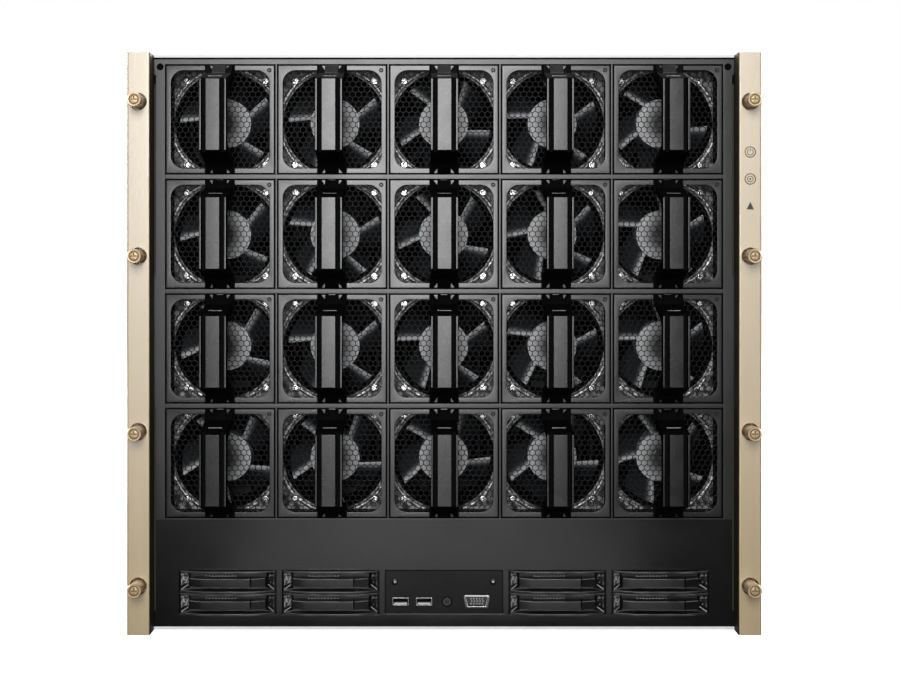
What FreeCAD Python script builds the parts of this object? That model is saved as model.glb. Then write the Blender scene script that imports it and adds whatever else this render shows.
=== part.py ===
import FreeCAD, Part
import math
import os

# Rack-mounted GPU server, ten rack units high, as separate pieces.
# Millimetres. X runs across the rack, Y from the front to the rear, Z up.
# The origin is at the middle of the overall depth, on the centre line, under the floor.

# Fan wall
FAN_COLUMNS = 5
FAN_ROWS = 4
MODULE_WIDTH = 83.0
MODULE_HEIGHT = 83.0
MODULE_GAP = 1.0
POST_WIDTH = 1.35
SHELF_HEIGHT = 3.4
FAN_BAY_DEPTH = 112.0
SIDE_MARGIN = 8.6
TOP_MARGIN = 3.9
FAN_CLEARANCE = 0.3

# Face plate and grille of a fan module
PLATE_SHEET = 1.6
PLATE_BORDER_X = 3.5
PLATE_BORDER_Z = 3.7
PLATE_CORNER = 10.0
LATCH_WIDTH = 5.5
LATCH_RISE = 0.6
GRILLE_SHEET = 0.8
GRILLE_PITCH = 19.2
GRILLE_WEB = 1.6
GRILLE_RIM = 2.2
GRILLE_FIT = 0.1

# Pull handle of a fan module
HANDLE_REACH = 41.0
HANDLE_LENGTH = 53.3
HANDLE_FACE = 10.3
HANDLE_GROOVE = 3.4
HANDLE_RIB = 1.55
HANDLE_THICKNESS = 9.0
GROOVE_DEPTH = 5.0
HANDLE_INNER_RADIUS = 6.0
HANDLE_END = 4.5
FOOT_WIDTH = 22.8
FOOT_HEIGHT = 9.6
FOOT_THICKNESS = 3.0
TOE_REACH = 4.0
RIDGE_REACH = 10.0
RIDGE_DROP = 7.0
FOOT_WINDOW_HEIGHT = 4.2

# Sleeve, frame and rotor of a fan
SLEEVE_SHEET = 1.0
SLEEVE_DEPTH = 103.0
FAN_SETBACK = 34.0
FRAME_DEPTH = 56.0
FRAME_WALL = 2.7
BELL_FLARE = 2.2
BELL_DEPTH = 5.0
HUB_DIAMETER = 38.7
HUB_LENGTH = 30.0
HUB_RECESS = 2.0
BLADES = 5
BLADE_DEPTH = 24.0
BLADE_THICKNESS = 1.6
BLADE_CAMBER = 2.6
ROOT_PITCH_DEG = 32.0
TIP_PITCH_DEG = 52.0
ROOT_LEAN = 6.2
TIP_LEAN = 20.1
TIP_CLEARANCE = 1.2
MOTOR_GAP = 1.5
MOTOR_BASE_DEPTH = 10.0
STRUTS = 4
STRUT_WIDTH = 6.0
SHAFT_DIAMETER = 5.0
SHAFT_LENGTH = 9.0
SHAFT_CLEARANCE = 0.1
ROTOR_TURNS_DEG = (
    (16, 17, 58, 21, 53),
    (7, 27, 68, 10, 25),
    (70, 18, 20, 29, 21),
    (63, 57, 51, 55, 4),
)
CONNECTOR_WIDTH = 26.0
CONNECTOR_HEIGHT = 9.0
CONNECTOR_DEPTH = 14.0

# Chassis and cover
BODY_DEPTH = 832.0
SHEET = 1.5
PANEL_SHEET = 1.5
COVER_HEM = 2.9
FLOOR_HEM = 2.5
COVER_LIP = 22.0
COVER_FLANGE = 12.0
BACKPLANE_SHEET = 2.0
EDGE_SLOT_WIDTH = 1.5
EDGE_SLOT_LENGTH = 155.0
EDGE_SLOT_INSET = 12.3

# Drive bays and carriers
DRIVE_SILL = 9.1
DRIVE_BAND = 40.0
BAY_WIDTH = 75.1
BAY_HEIGHT = 34.4
BAY_POST = 4.4
DRIVE_BAY_DEPTH = 165.0
CARRIER_GAP = 0.4
CARRIER_SPLIT = 0.8
CARRIER_BULGE = 6.0
CARRIER_FLAT = 38.0
BEZEL_DEPTH = 14.0
BEZEL_RIM = 1.3
BEZEL_RECESS = 6.0
BEZEL_END = 6.5
LEVER_HEIGHT = 6.8
LEVER_DROP = 0.7
LEVER_SETBACK = 0.8
LEVER_SPLIT_X = 18.2
LEVER_SPLIT = 0.8
TRAY_WIDTH = 71.6
TRAY_HEIGHT = 15.2
TRAY_SHEET = 0.8
TRAY_LENGTH = 132.0
DRIVE_WIDTH = 69.85
DRIVE_HEIGHT = 13.6
DRIVE_LENGTH = 100.4

# Console plate
CONSOLE_WIDTH = 91.2
CONSOLE_HEIGHT = 33.6
CONSOLE_POST = 4.3
CONSOLE_GAP = 0.5
CONSOLE_CORNER = 1.6
CONSOLE_FLANGE = 2.0
CONSOLE_SCREW_X = 37.9
CONSOLE_SCREW_DROP = 8.6
CONSOLE_SCREW_RADIUS = 2.4
PORT_FIT = 0.2
PORT_LIFT = 5.9
PORT_STEP = 1.3
USB_X = (-33.5, -15.4)
USB_WIDTH = 12.2
USB_HEIGHT = 5.8
USB_DEPTH = 14.0
USB_WALL = 0.4
VGA_X = 25.2
VGA_WIDTH = 17.6
VGA_HEIGHT = 8.4
VGA_TAPER = 1.6
VGA_DEPTH = 12.0
VGA_WALL = 0.6
BOARD_SHEET = 1.6
BOARD_DEPTH = 60.0

# Push buttons
BUTTON_FIT = 0.3
BUTTON_TRAVEL = 1.2
BUTTON_CHAMFER = 0.5
CONSOLE_BUTTON_X = 2.3
CONSOLE_BUTTON_RISE = 8.8
CONSOLE_BUTTON_DIAMETER = 7.6
CONSOLE_BUTTON_LENGTH = 6.0
BUTTON_GUIDE_WALL = 1.6
EAR_BUTTON_DIAMETER = 8.0
EAR_BUTTON_LENGTH = 6.0
POWER_BUTTON_DROP = 75.7
IDENTIFY_BUTTON_DROP = 96.2
FAULT_LIGHT_DROP = 116.5
FAULT_LIGHT_SIDE = 5.4
FAULT_LIGHT_DEPTH = 1.2
FAULT_LIGHT_FIT = 0.1

# Rack ears and thumbscrews
EAR_WIDTH = 17.5
EAR_STEP = 17.0
EAR_BACK = 6.0
EAR_CORNER = 1.4
EAR_FLANGE = 60.0
OUTER_SCREW_INSET = 37.35
INNER_SCREW_INSET = 154.825
SCREW_WELL_RADIUS = 6.6
SCREW_WELL_DEPTH = 11.0
KNOB_DIAMETER = 11.0
KNOB_REACH = 17.0
KNOB_HEAD = 4.2
KNOB_NECK = 0.5
KNOB_CHAMFER = 0.5
NECK_DIAMETER = 5.0
STUD_DIAMETER = 6.0
STUD_FIT = 0.3
STUD_LENGTH = 14.0

# Rear bays
TRAY_FIT = 0.3
PLENUM = 40.0
GPU_TRAY_HEIGHT = 255.0
REAR_SHEET = 1.5
REAR_REACH = 24.0
WINDOW_COLUMNS = 4
WINDOW_ROWS = 2
WINDOW_BORDER = 14.0
EXHAUST_PITCH = 23.0
EXHAUST_WEB = 2.0
SINK_COLUMNS = 4
SINK_ROWS = 2
SINK_GAP = 8.0
SINK_FINS = 12
FIN_SHARE = 0.3
SINK_BASE = 14.0
PULL_WIDTH = 10.0
PULL_HEIGHT = 70.0
PULL_REACH = 16.0
PULL_INSET = 5.0
PULL_SHEET = 4.0
PULL_CORNER = 3.0
ADAPTERS = 10
ADAPTER_WIDTH = 14.0
ADAPTER_PITCH = 20.3
ADAPTER_HEIGHT = 100.0
CAGES = 4
CAGE_WIDTH = 22.0
CAGE_HEIGHT = 26.0
CAGE_DEPTH = 60.0
CAGE_WALL = 0.8
CAGE_PITCH = 32.0

# Power supplies
SUPPLIES = 6
SUPPLY_HEIGHT = 40.5
SUPPLY_DEPTH = 185.0
SUPPLY_GAP = 1.4
INLET_WIDTH = 30.0
INLET_HEIGHT = 24.0
INLET_DEPTH = 20.0
INLET_WALL = 1.5
INLET_SIDE = 15.0
PIN_WIDTH = 2.0
PIN_HEIGHT = 6.0
PIN_LENGTH = 14.0
PIN_PITCH = 9.0
GRIP_SHEET = 3.0
GRIP_LENGTH = 30.0
GRIP_DEPTH = 12.0
GRIP_SIDE = 12.0
GRIP_CORNER = 5.0
VENT_SLOTS = 7
VENT_WIDTH = 2.4
VENT_HEIGHT = 10.0
VENT_PITCH = 4.4
VENT_DEPTH = 6.0

# Layout worked out from the sizes above
BAY_W = MODULE_WIDTH + 2 * MODULE_GAP
BAY_H = MODULE_HEIGHT + 2 * MODULE_GAP
COLUMN_PITCH = BAY_W + POST_WIDTH
ROW_PITCH = BAY_H + SHELF_HEIGHT
FAN_GRID_W = FAN_COLUMNS * BAY_W + (FAN_COLUMNS - 1) * POST_WIDTH
FAN_GRID_H = FAN_ROWS * BAY_H + (FAN_ROWS - 1) * SHELF_HEIGHT
DRIVE_NEAR = CONSOLE_WIDTH / 2 + CONSOLE_POST
DRIVE_FAR = DRIVE_NEAR + 2 * BAY_WIDTH + BAY_POST
CHASSIS_WIDTH = max(FAN_GRID_W, 2 * DRIVE_FAR) + 2 * SIDE_MARGIN
HALF = CHASSIS_WIDTH / 2
TUB_HALF = HALF - SHEET
INNER_HALF = TUB_HALF - SHEET

DRIVE_Z = FLOOR_HEM + DRIVE_SILL
FAN_Z = DRIVE_Z + BAY_HEIGHT + DRIVE_BAND
PANEL_TOP = FAN_Z + FAN_GRID_H + TOP_MARGIN
HEIGHT = PANEL_TOP + COVER_HEM

FRONT_REACH = max(HANDLE_REACH, EAR_STEP + KNOB_REACH)
PANEL_Y = FRONT_REACH - (FRONT_REACH + BODY_DEPTH + REAR_REACH) / 2
REAR_Y = PANEL_Y + BODY_DEPTH
PANEL_BACK = PANEL_Y + PANEL_SHEET
EAR_Y = PANEL_Y - EAR_STEP
EAR_BACK_Y = PANEL_BACK + EAR_BACK


# Shapes shared by the pieces


def box(x, y, z):
    """Block between the (low, high) pairs given for each axis."""
    size = [pair[1] - pair[0] for pair in (x, y, z)]
    return Part.makeBox(*size, FreeCAD.Vector(x[0], y[0], z[0]))


def rod(x, z, radius, y):
    """Round bar along Y between the pair y."""
    return Part.makeCylinder(radius, y[1] - y[0], FreeCAD.Vector(x, y[0], z), FreeCAD.Vector(0, 1, 0))


def span(middle, width):
    return (middle - width / 2, middle + width / 2)


def fused(shapes):
    """One clean solid from pieces that meet."""
    shapes = list(shapes)
    return shapes[0].fuse(shapes[1:]).removeSplitter()


def in_plane(plane, level, u, v):
    """Point (u, v) of the XZ, YZ or XY plane at that level."""
    if plane == "XZ":
        return FreeCAD.Vector(u, level, v)
    if plane == "YZ":
        return FreeCAD.Vector(level, u, v)
    return FreeCAD.Vector(u, v, level)


def outline(corners, plane, level):
    """Closed wire through (u, v, radius) corners, each radius a tangent arc."""
    arcs = []
    for i, (u, v, radius) in enumerate(corners):
        here = FreeCAD.Vector(u, v, 0)
        before = FreeCAD.Vector(corners[i - 1][0], corners[i - 1][1], 0)
        following = corners[(i + 1) % len(corners)]
        after = FreeCAD.Vector(following[0], following[1], 0)
        back = (before - here).normalize()
        ahead = (after - here).normalize()
        half_angle = back.getAngle(ahead) / 2
        reach = radius / math.tan(half_angle)
        inward = (back + ahead).normalize()
        bulge = radius / math.sin(half_angle) - radius
        arcs.append((here + back * reach, here + inward * bulge, here + ahead * reach))
    edges = []
    for i, arc in enumerate(arcs):
        start, middle, end = [in_plane(plane, level, p.x, p.y) for p in arc]
        if start.distanceToPoint(end) > 1e-6:
            edges.append(Part.Arc(start, middle, end).toShape())
        nearest = arcs[(i + 1) % len(arcs)][0]
        edges.append(Part.makeLine(end, in_plane(plane, level, nearest.x, nearest.y)))
    return Part.Wire(edges)


def prism(corners, plane, pair, holes=()):
    """Solid between two levels of a plane, from a rounded outline and hole wires."""
    wires = [outline(corners, plane, pair[0])] + list(holes)
    face = Part.makeFace(wires, "Part::FaceMakerBullseye")
    return face.extrude(in_plane(plane, pair[1] - pair[0], 0, 0))


def rectangle(u, v, radius=0.0):
    """Corners of a rectangle between two pairs, for outline and prism."""
    return [(u[0], v[0], radius), (u[1], v[0], radius), (u[1], v[1], radius), (u[0], v[1], radius)]


def turned(profile, x, z):
    """Solid turned about the line along Y through (x, z), from (radius, y) points."""
    points = [FreeCAD.Vector(x + r, y, z) for r, y in profile]
    face = Part.Face(Part.makePolygon(points + points[:1]))
    return face.revolve(FreeCAD.Vector(x, 0, z), FreeCAD.Vector(0, 1, 0), 360)


def hexagon(x, z, flat, y):
    """Wire of an upright hexagon with that distance across its flats."""
    radius = flat / math.sqrt(3)
    points = []
    for corner in range(6):
        angle = math.radians(30 + 60 * corner)
        points.append(FreeCAD.Vector(x + radius * math.cos(angle), y, z + radius * math.sin(angle)))
    return Part.makePolygon(points + points[:1])


def honeycomb(x, z, y, pitch, web, rim):
    """Perforated sheet between pairs, with whole hexagons inside its rim."""
    flat = pitch - web
    reach_x = (x[1] - x[0]) / 2 - rim - flat / 2
    reach_z = (z[1] - z[0]) / 2 - rim - flat / math.sqrt(3)
    row_pitch = pitch * math.sqrt(3) / 2
    rows = int(reach_z / row_pitch)
    holes = []
    for row in range(-rows, rows + 1):
        shift = pitch / 2 if row % 2 else 0.0
        columns = int((reach_x + shift) / pitch)
        for column in range(-columns, columns + 1):
            across = column * pitch + shift
            if abs(across) <= reach_x:
                holes.append(hexagon(sum(x) / 2 + across, sum(z) / 2 + row * row_pitch, flat, y[0]))
    return prism(rectangle(x, z), "XZ", y, holes)


def save(name, solids):
    """Writes the pieces of one node."""
    Part.makeCompound(list(solids)).exportStep("parts/" + name + ".step")


# Fan modules, each made once about X = 0, Z = 0 and then set in its bay


def face_plate():
    """Sheet with a rounded window and a latch tip on top."""
    half_w = MODULE_WIDTH / 2
    half_h = MODULE_HEIGHT / 2
    window = rectangle(
        (PLATE_BORDER_X - half_w, half_w - PLATE_BORDER_X),
        (PLATE_BORDER_Z - half_h, half_h - PLATE_BORDER_Z),
        PLATE_CORNER,
    )
    sheet = (PANEL_Y, PANEL_Y + PLATE_SHEET)
    plate = prism(
        rectangle((-half_w, half_w), (-half_h, half_h)),
        "XZ",
        sheet,
        [outline(window, "XZ", PANEL_Y)],
    )
    latch = box(span(0, LATCH_WIDTH), sheet, (half_h, half_h + LATCH_RISE))
    return fused([plate, latch])


def pull_handle():
    """Bridge-shaped moulding: a grooved bar on two sloping legs with foot pads."""
    width = HANDLE_FACE + 2 * (HANDLE_GROOVE + HANDLE_RIB)
    front = PANEL_Y - HANDLE_REACH
    edge = MODULE_HEIGHT / 2
    bar = HANDLE_LENGTH / 2
    inner_front = front + HANDLE_THICKNESS
    inner_edge = edge - FOOT_HEIGHT
    inner_bar = bar - HANDLE_END
    profile = [
        (PANEL_Y, edge, 0.0),
        (PANEL_Y - TOE_REACH, edge, 0.0),
        (PANEL_Y - RIDGE_REACH, edge - RIDGE_DROP, 0.0),
        (front, bar, 0.0),
        (front, -bar, 0.0),
        (PANEL_Y - RIDGE_REACH, RIDGE_DROP - edge, 0.0),
        (PANEL_Y - TOE_REACH, -edge, 0.0),
        (PANEL_Y, -edge, 0.0),
        (PANEL_Y, -inner_edge, 0.0),
        (inner_front, -inner_bar, HANDLE_INNER_RADIUS),
        (inner_front, inner_bar, HANDLE_INNER_RADIUS),
        (PANEL_Y, inner_edge, 0.0),
    ]
    bridge = prism(profile, "YZ", span(0, width))
    pad_y = (PANEL_Y - FOOT_THICKNESS, PANEL_Y)
    pads = [box(span(0, FOOT_WIDTH), pad_y, sorted((side * inner_edge, side * edge))) for side in (1, -1)]
    handle = fused([bridge] + pads)
    groove_x = HANDLE_FACE / 2
    for side in (1, -1):
        groove = sorted((side * groove_x, side * (groove_x + HANDLE_GROOVE)))
        handle = handle.cut(box(groove, (front, front + GROOVE_DEPTH), (-edge, edge)))
        for end in (1, -1):
            window = [
                (side * groove_x, end * (edge + LATCH_RISE), 0.0),
                (side * (groove_x + HANDLE_GROOVE), end * (edge + LATCH_RISE), 0.0),
                (side * groove_x, end * (edge - FOOT_WINDOW_HEIGHT), 0.0),
            ]
            handle = handle.cut(prism(window, "XZ", (front, PANEL_Y)))
    return handle


SLEEVE_W = BAY_W - 2 * FAN_CLEARANCE
SLEEVE_H = BAY_H - 2 * FAN_CLEARANCE
FRAME_W = SLEEVE_W - 2 * SLEEVE_SHEET
FRAME_H = SLEEVE_H - 2 * SLEEVE_SHEET
SLEEVE_Y = PANEL_Y + PLATE_SHEET
FRAME_Y = PANEL_Y + FAN_SETBACK
BORE_RADIUS = min(FRAME_W, FRAME_H) / 2 - FRAME_WALL
HUB_Y = FRAME_Y + HUB_RECESS
MOTOR_Y = HUB_Y + HUB_LENGTH + MOTOR_GAP


def sleeve():
    """Sheet-metal tube that slides in the bay and carries the fan."""
    depth = (SLEEVE_Y, SLEEVE_Y + SLEEVE_DEPTH)
    outside = box(span(0, SLEEVE_W), depth, span(0, SLEEVE_H))
    return outside.cut(box(span(0, FRAME_W), depth, span(0, FRAME_H)))


def module_grille():
    """Honeycomb guard against the back of the face plate, inside the sleeve."""
    sheet = (SLEEVE_Y, SLEEVE_Y + GRILLE_SHEET)
    width = FRAME_W - 2 * GRILLE_FIT
    height = FRAME_H - 2 * GRILLE_FIT
    return honeycomb(span(0, width), span(0, height), sheet, GRILLE_PITCH, GRILLE_WEB, GRILLE_RIM)


def fan_frame():
    """Square moulding with a flared bore, and a motor base on struts at the rear."""
    rear = FRAME_Y + FRAME_DEPTH
    body = box(span(0, FRAME_W), (FRAME_Y, rear), span(0, FRAME_H))
    bore = [
        (0, FRAME_Y),
        (BORE_RADIUS + BELL_FLARE, FRAME_Y),
        (BORE_RADIUS, FRAME_Y + BELL_DEPTH),
        (BORE_RADIUS, rear),
        (0, rear),
    ]
    ring = body.cut(turned(bore, 0, 0))
    base_y = (MOTOR_Y, MOTOR_Y + MOTOR_BASE_DEPTH)
    base = rod(0, 0, HUB_DIAMETER / 2, base_y)
    struts = []
    for i in range(STRUTS):
        strut = box((0, BORE_RADIUS + FRAME_WALL / 2), base_y, span(0, STRUT_WIDTH))
        strut.rotate(FreeCAD.Vector(0, 0, 0), FreeCAD.Vector(0, 1, 0), 360 / STRUTS * (i + 0.5))
        struts.append(strut)
    bearing = rod(0, 0, SHAFT_DIAMETER / 2 + SHAFT_CLEARANCE, base_y)
    return fused([ring, base] + struts).cut(bearing)


def fan_connector():
    """Blind-mate plug on the sleeve's floor, behind the fan."""
    rear = SLEEVE_Y + SLEEVE_DEPTH
    floor = -FRAME_H / 2
    return box(span(0, CONNECTOR_WIDTH), (rear - CONNECTOR_DEPTH, rear), (floor, floor + CONNECTOR_HEIGHT))


def blade_section(radius, pitch_deg, lean):
    """Curved strip across one radius, from its front edge back and clockwise."""
    front = HUB_Y + (HUB_LENGTH - BLADE_DEPTH) / 2
    half_width = BLADE_DEPTH * math.tan(math.radians(pitch_deg)) / 2
    leading = FreeCAD.Vector(lean - half_width, front, radius)
    trailing = FreeCAD.Vector(lean + half_width, front + BLADE_DEPTH, radius)
    chord = trailing - leading
    normal = FreeCAD.Vector(chord.y, -chord.x, 0).normalize()
    thick = normal * BLADE_THICKNESS
    crest = (leading + trailing) * 0.5 + normal * BLADE_CAMBER
    return Part.Wire(
        [
            Part.Arc(leading, crest, trailing).toShape(),
            Part.makeLine(trailing, trailing + thick),
            Part.Arc(trailing + thick, crest + thick, leading + thick).toShape(),
            Part.makeLine(leading + thick, leading),
        ]
    )


def rotor():
    """Hub, swept blades trimmed to the bore, and the shaft that runs in the motor base."""
    hub_radius = HUB_DIAMETER / 2
    tip_radius = BORE_RADIUS - TIP_CLEARANCE
    hub_rear = HUB_Y + HUB_LENGTH
    shaft_end = MOTOR_Y + SHAFT_LENGTH
    body = turned(
        [
            (0, HUB_Y),
            (hub_radius, HUB_Y),
            (hub_radius, hub_rear),
            (SHAFT_DIAMETER / 2, hub_rear),
            (SHAFT_DIAMETER / 2, shaft_end),
            (0, shaft_end),
        ],
        0,
        0,
    )
    root = blade_section(hub_radius / 2, ROOT_PITCH_DEG, ROOT_LEAN)
    tip = blade_section(tip_radius + BLADE_DEPTH / 2, TIP_PITCH_DEG, -TIP_LEAN)
    reach = rod(0, 0, tip_radius, (HUB_Y, hub_rear))
    blade = Part.makeLoft([root, tip], True, True).common(reach)
    blades = []
    for i in range(BLADES):
        copy = blade.copy()
        copy.rotate(FreeCAD.Vector(0, 0, 0), FreeCAD.Vector(0, 1, 0), 360 / BLADES * i)
        blades.append(copy)
    return fused([body] + blades)


def fan_wall():
    """All fan modules with their rotors, each in its own bay."""
    module = [face_plate(), module_grille(), sleeve(), fan_frame(), fan_connector(), pull_handle()]
    spinner = rotor()
    for row in range(FAN_ROWS):
        for column in range(FAN_COLUMNS):
            x = (column - (FAN_COLUMNS - 1) / 2) * COLUMN_PITCH
            z = FAN_Z + BAY_H / 2 + (FAN_ROWS - 1 - row) * ROW_PITCH
            place = FreeCAD.Vector(x, 0, z)
            name = "r%dc%d" % (row + 1, column + 1)
            save("fan_module_" + name, [piece.translated(place) for piece in module])
            turns = ROTOR_TURNS_DEG[row % len(ROTOR_TURNS_DEG)]
            turn = turns[column % len(turns)]
            turned_rotor = spinner.copy()
            turned_rotor.rotate(FreeCAD.Vector(0, 0, 0), FreeCAD.Vector(0, 1, 0), turn)
            save("fan_rotor_" + name, [turned_rotor.translated(place)])


# Drive carriers

CARRIER_WIDTH = BAY_WIDTH - 2 * CARRIER_GAP
CARRIER_HEIGHT = (BAY_HEIGHT - CARRIER_SPLIT) / 2 - CARRIER_GAP
SLOT_WIDTH = TRAY_WIDTH + 2 * FAN_CLEARANCE
SLOT_HEIGHT = TRAY_HEIGHT + 2 * FAN_CLEARANCE


def drive_columns():
    """Middle of each column of drive bays, from left to right."""
    near = DRIVE_NEAR + BAY_WIDTH / 2
    far = near + BAY_WIDTH + BAY_POST
    return (-far, -near, near, far)


def drive_rows():
    """Middle height of the upper and the lower carrier of a bay."""
    reach = CARRIER_GAP + CARRIER_HEIGHT / 2
    return (DRIVE_Z + BAY_HEIGHT - reach, DRIVE_Z + reach)


def bulged(width, setback, back):
    """Plan outline whose front is a flat middle between two ends that fall back."""
    fall = CARRIER_BULGE * (width - CARRIER_FLAT) / (CARRIER_WIDTH - CARRIER_FLAT)
    middle = PANEL_Y - CARRIER_BULGE + setback
    return [
        (-width / 2, back, 0.0),
        (-width / 2, middle + fall, 0.0),
        (-CARRIER_FLAT / 2, middle, 0.0),
        (CARRIER_FLAT / 2, middle, 0.0),
        (width / 2, middle + fall, 0.0),
        (width / 2, back, 0.0),
    ]


def drive_carrier():
    """Bezel with a splayed recess, lever bar and its release, sheet-metal tray and drive."""
    back = PANEL_Y + BEZEL_DEPTH
    half_h = CARRIER_HEIGHT / 2
    bezel = prism(bulged(CARRIER_WIDTH, 0, back), "XY", (-half_h, half_h))
    recess_h = half_h - BEZEL_RIM
    recess_w = CARRIER_WIDTH - 2 * BEZEL_RIM
    floor = PANEL_Y + BEZEL_RECESS
    front = PANEL_Y - CARRIER_BULGE
    recess = [
        (-recess_w / 2, front, 0.0),
        (-recess_w / 2, PANEL_Y, 0.0),
        (BEZEL_END - recess_w / 2, floor, 0.0),
        (recess_w / 2 - BEZEL_END, floor, 0.0),
        (recess_w / 2, PANEL_Y, 0.0),
        (recess_w / 2, front, 0.0),
    ]
    bezel = bezel.cut(prism(recess, "XY", (-recess_h, recess_h)))
    lever_w = recess_w - 2 * BEZEL_END
    lever_z = span(-LEVER_DROP, LEVER_HEIGHT)
    bar = prism(bulged(lever_w, LEVER_SETBACK, floor), "XY", lever_z)
    split = span(LEVER_SPLIT_X, LEVER_SPLIT)
    lever = bar.cut(box((split[0], lever_w), (front, floor), lever_z))
    release = bar.cut(box((-lever_w, split[1]), (front, floor), lever_z))
    tray_y = (back, back + TRAY_LENGTH)
    shell = box(span(0, TRAY_WIDTH), tray_y, span(0, TRAY_HEIGHT))
    inside_w = span(0, TRAY_WIDTH - 2 * TRAY_SHEET)
    tray_floor = TRAY_SHEET - TRAY_HEIGHT / 2
    tray = shell.cut(box(inside_w, (back + TRAY_SHEET, tray_y[1]), (tray_floor, TRAY_HEIGHT / 2)))
    drive_y = (tray_y[1] - DRIVE_LENGTH, tray_y[1])
    drive = box(span(0, DRIVE_WIDTH), drive_y, (tray_floor, tray_floor + DRIVE_HEIGHT))
    return [bezel, lever, release, tray, drive]


def drive_bays():
    """All carriers, numbered along the upper row and then the lower one."""
    carrier = drive_carrier()
    number = 0
    for z in drive_rows():
        for x in drive_columns():
            number += 1
            place = FreeCAD.Vector(x, 0, z)
            save("drive_carrier_%d" % number, [piece.translated(place) for piece in carrier])


# Front panel with the cages behind it

CONSOLE_Z = (DRIVE_Z + BAY_HEIGHT - CONSOLE_HEIGHT, DRIVE_Z + BAY_HEIGHT)


def face_sheet():
    """Front sheet with one large fan window, the drive bays, the console opening and edge slots."""
    sheet = (PANEL_Y, PANEL_BACK)
    face = box((-HALF, HALF), sheet, (FLOOR_HEM, PANEL_TOP))
    cuts = [box(span(0, FAN_GRID_W), sheet, (FAN_Z, FAN_Z + FAN_GRID_H))]
    for x in drive_columns():
        cuts.append(box(span(x, BAY_WIDTH), sheet, (DRIVE_Z, DRIVE_Z + BAY_HEIGHT)))
    opening = rectangle(span(0, CONSOLE_WIDTH), CONSOLE_Z, CONSOLE_CORNER)
    cuts.append(prism(opening, "XZ", sheet))
    for side in (1, -1):
        slot_x = sorted((side * HALF, side * (HALF - EDGE_SLOT_WIDTH)))
        upper = PANEL_TOP - EDGE_SLOT_INSET
        lower = FLOOR_HEM + EDGE_SLOT_INSET
        cuts.append(box(slot_x, sheet, (upper - EDGE_SLOT_LENGTH, upper)))
        cuts.append(box(slot_x, sheet, (lower, lower + EDGE_SLOT_LENGTH)))
    return face.cut(cuts)


def fan_cage():
    """Egg-crate of plates: walls behind the sheet, with shelves and dividers out to its face."""
    rear = PANEL_Y + FAN_BAY_DEPTH
    half = FAN_GRID_W / 2
    outer = (-half - SHEET, half + SHEET)
    top = FAN_Z + FAN_GRID_H
    plates = [
        box(outer, (PANEL_BACK, rear), (FAN_Z - SHEET, FAN_Z)),
        box(outer, (PANEL_BACK, rear), (top, top + SHEET)),
        box((outer[0], -half), (PANEL_BACK, rear), (FAN_Z, top)),
        box((half, outer[1]), (PANEL_BACK, rear), (FAN_Z, top)),
    ]
    for row in range(FAN_ROWS):
        low = FAN_Z + row * ROW_PITCH
        if row > 0:
            plates.append(box((-half, half), (PANEL_Y, rear), (low - SHELF_HEIGHT, low)))
        for column in range(1, FAN_COLUMNS):
            near = column * COLUMN_PITCH - half
            plates.append(box((near - POST_WIDTH, near), (PANEL_Y, rear), (low, low + BAY_H)))
    return plates


def drive_cages():
    """Two cages behind the sheet, each with room for the bezels and a slot for every tray."""
    deep = (PANEL_BACK, PANEL_Y + DRIVE_BAY_DEPTH)
    bezel_y = (PANEL_BACK, PANEL_Y + BEZEL_DEPTH)
    bay_z = (DRIVE_Z, DRIVE_Z + BAY_HEIGHT)
    cuts = []
    for x in drive_columns():
        cuts.append(box(span(x, BAY_WIDTH), bezel_y, bay_z))
        for z in drive_rows():
            cuts.append(box(span(x, SLOT_WIDTH), deep, span(z, SLOT_HEIGHT)))
    cages = []
    for side in (1, -1):
        ends = sorted((side * (DRIVE_NEAR - SHEET), side * (DRIVE_FAR + SHEET)))
        cages.append(box(ends, deep, (bay_z[0] - SHEET, bay_z[1] + SHEET)).cut(cuts))
    return cages


def fan_backplane():
    """Board behind the fan bays with an air window for each fan."""
    rear = PANEL_Y + FAN_BAY_DEPTH
    board_y = (rear, rear + BACKPLANE_SHEET)
    board_z = (FAN_Z - SHEET / 2, FAN_Z + FAN_GRID_H + SHEET / 2)
    board = box(span(0, FAN_GRID_W + SHEET), board_y, board_z)
    windows = []
    for row in range(FAN_ROWS):
        for column in range(FAN_COLUMNS):
            x = (column - (FAN_COLUMNS - 1) / 2) * COLUMN_PITCH
            z = FAN_Z + BAY_H / 2 + row * ROW_PITCH + CONNECTOR_HEIGHT / 2
            height = MODULE_HEIGHT - 2 * CONNECTOR_HEIGHT
            windows.append(box(span(x, 2 * BORE_RADIUS), board_y, span(z, height)))
    return board.cut(windows)


# Chassis tub and cover

GPU_Z = SHEET + SUPPLY_HEIGHT + 2 * TRAY_FIT
BOARD_TRAY_Z = GPU_Z + SHEET + GPU_TRAY_HEIGHT + TRAY_FIT
COVER_Z = HEIGHT - SHEET
TRAY_FRONT = PANEL_Y + max(FAN_BAY_DEPTH, DRIVE_BAY_DEPTH) + PLENUM


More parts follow.
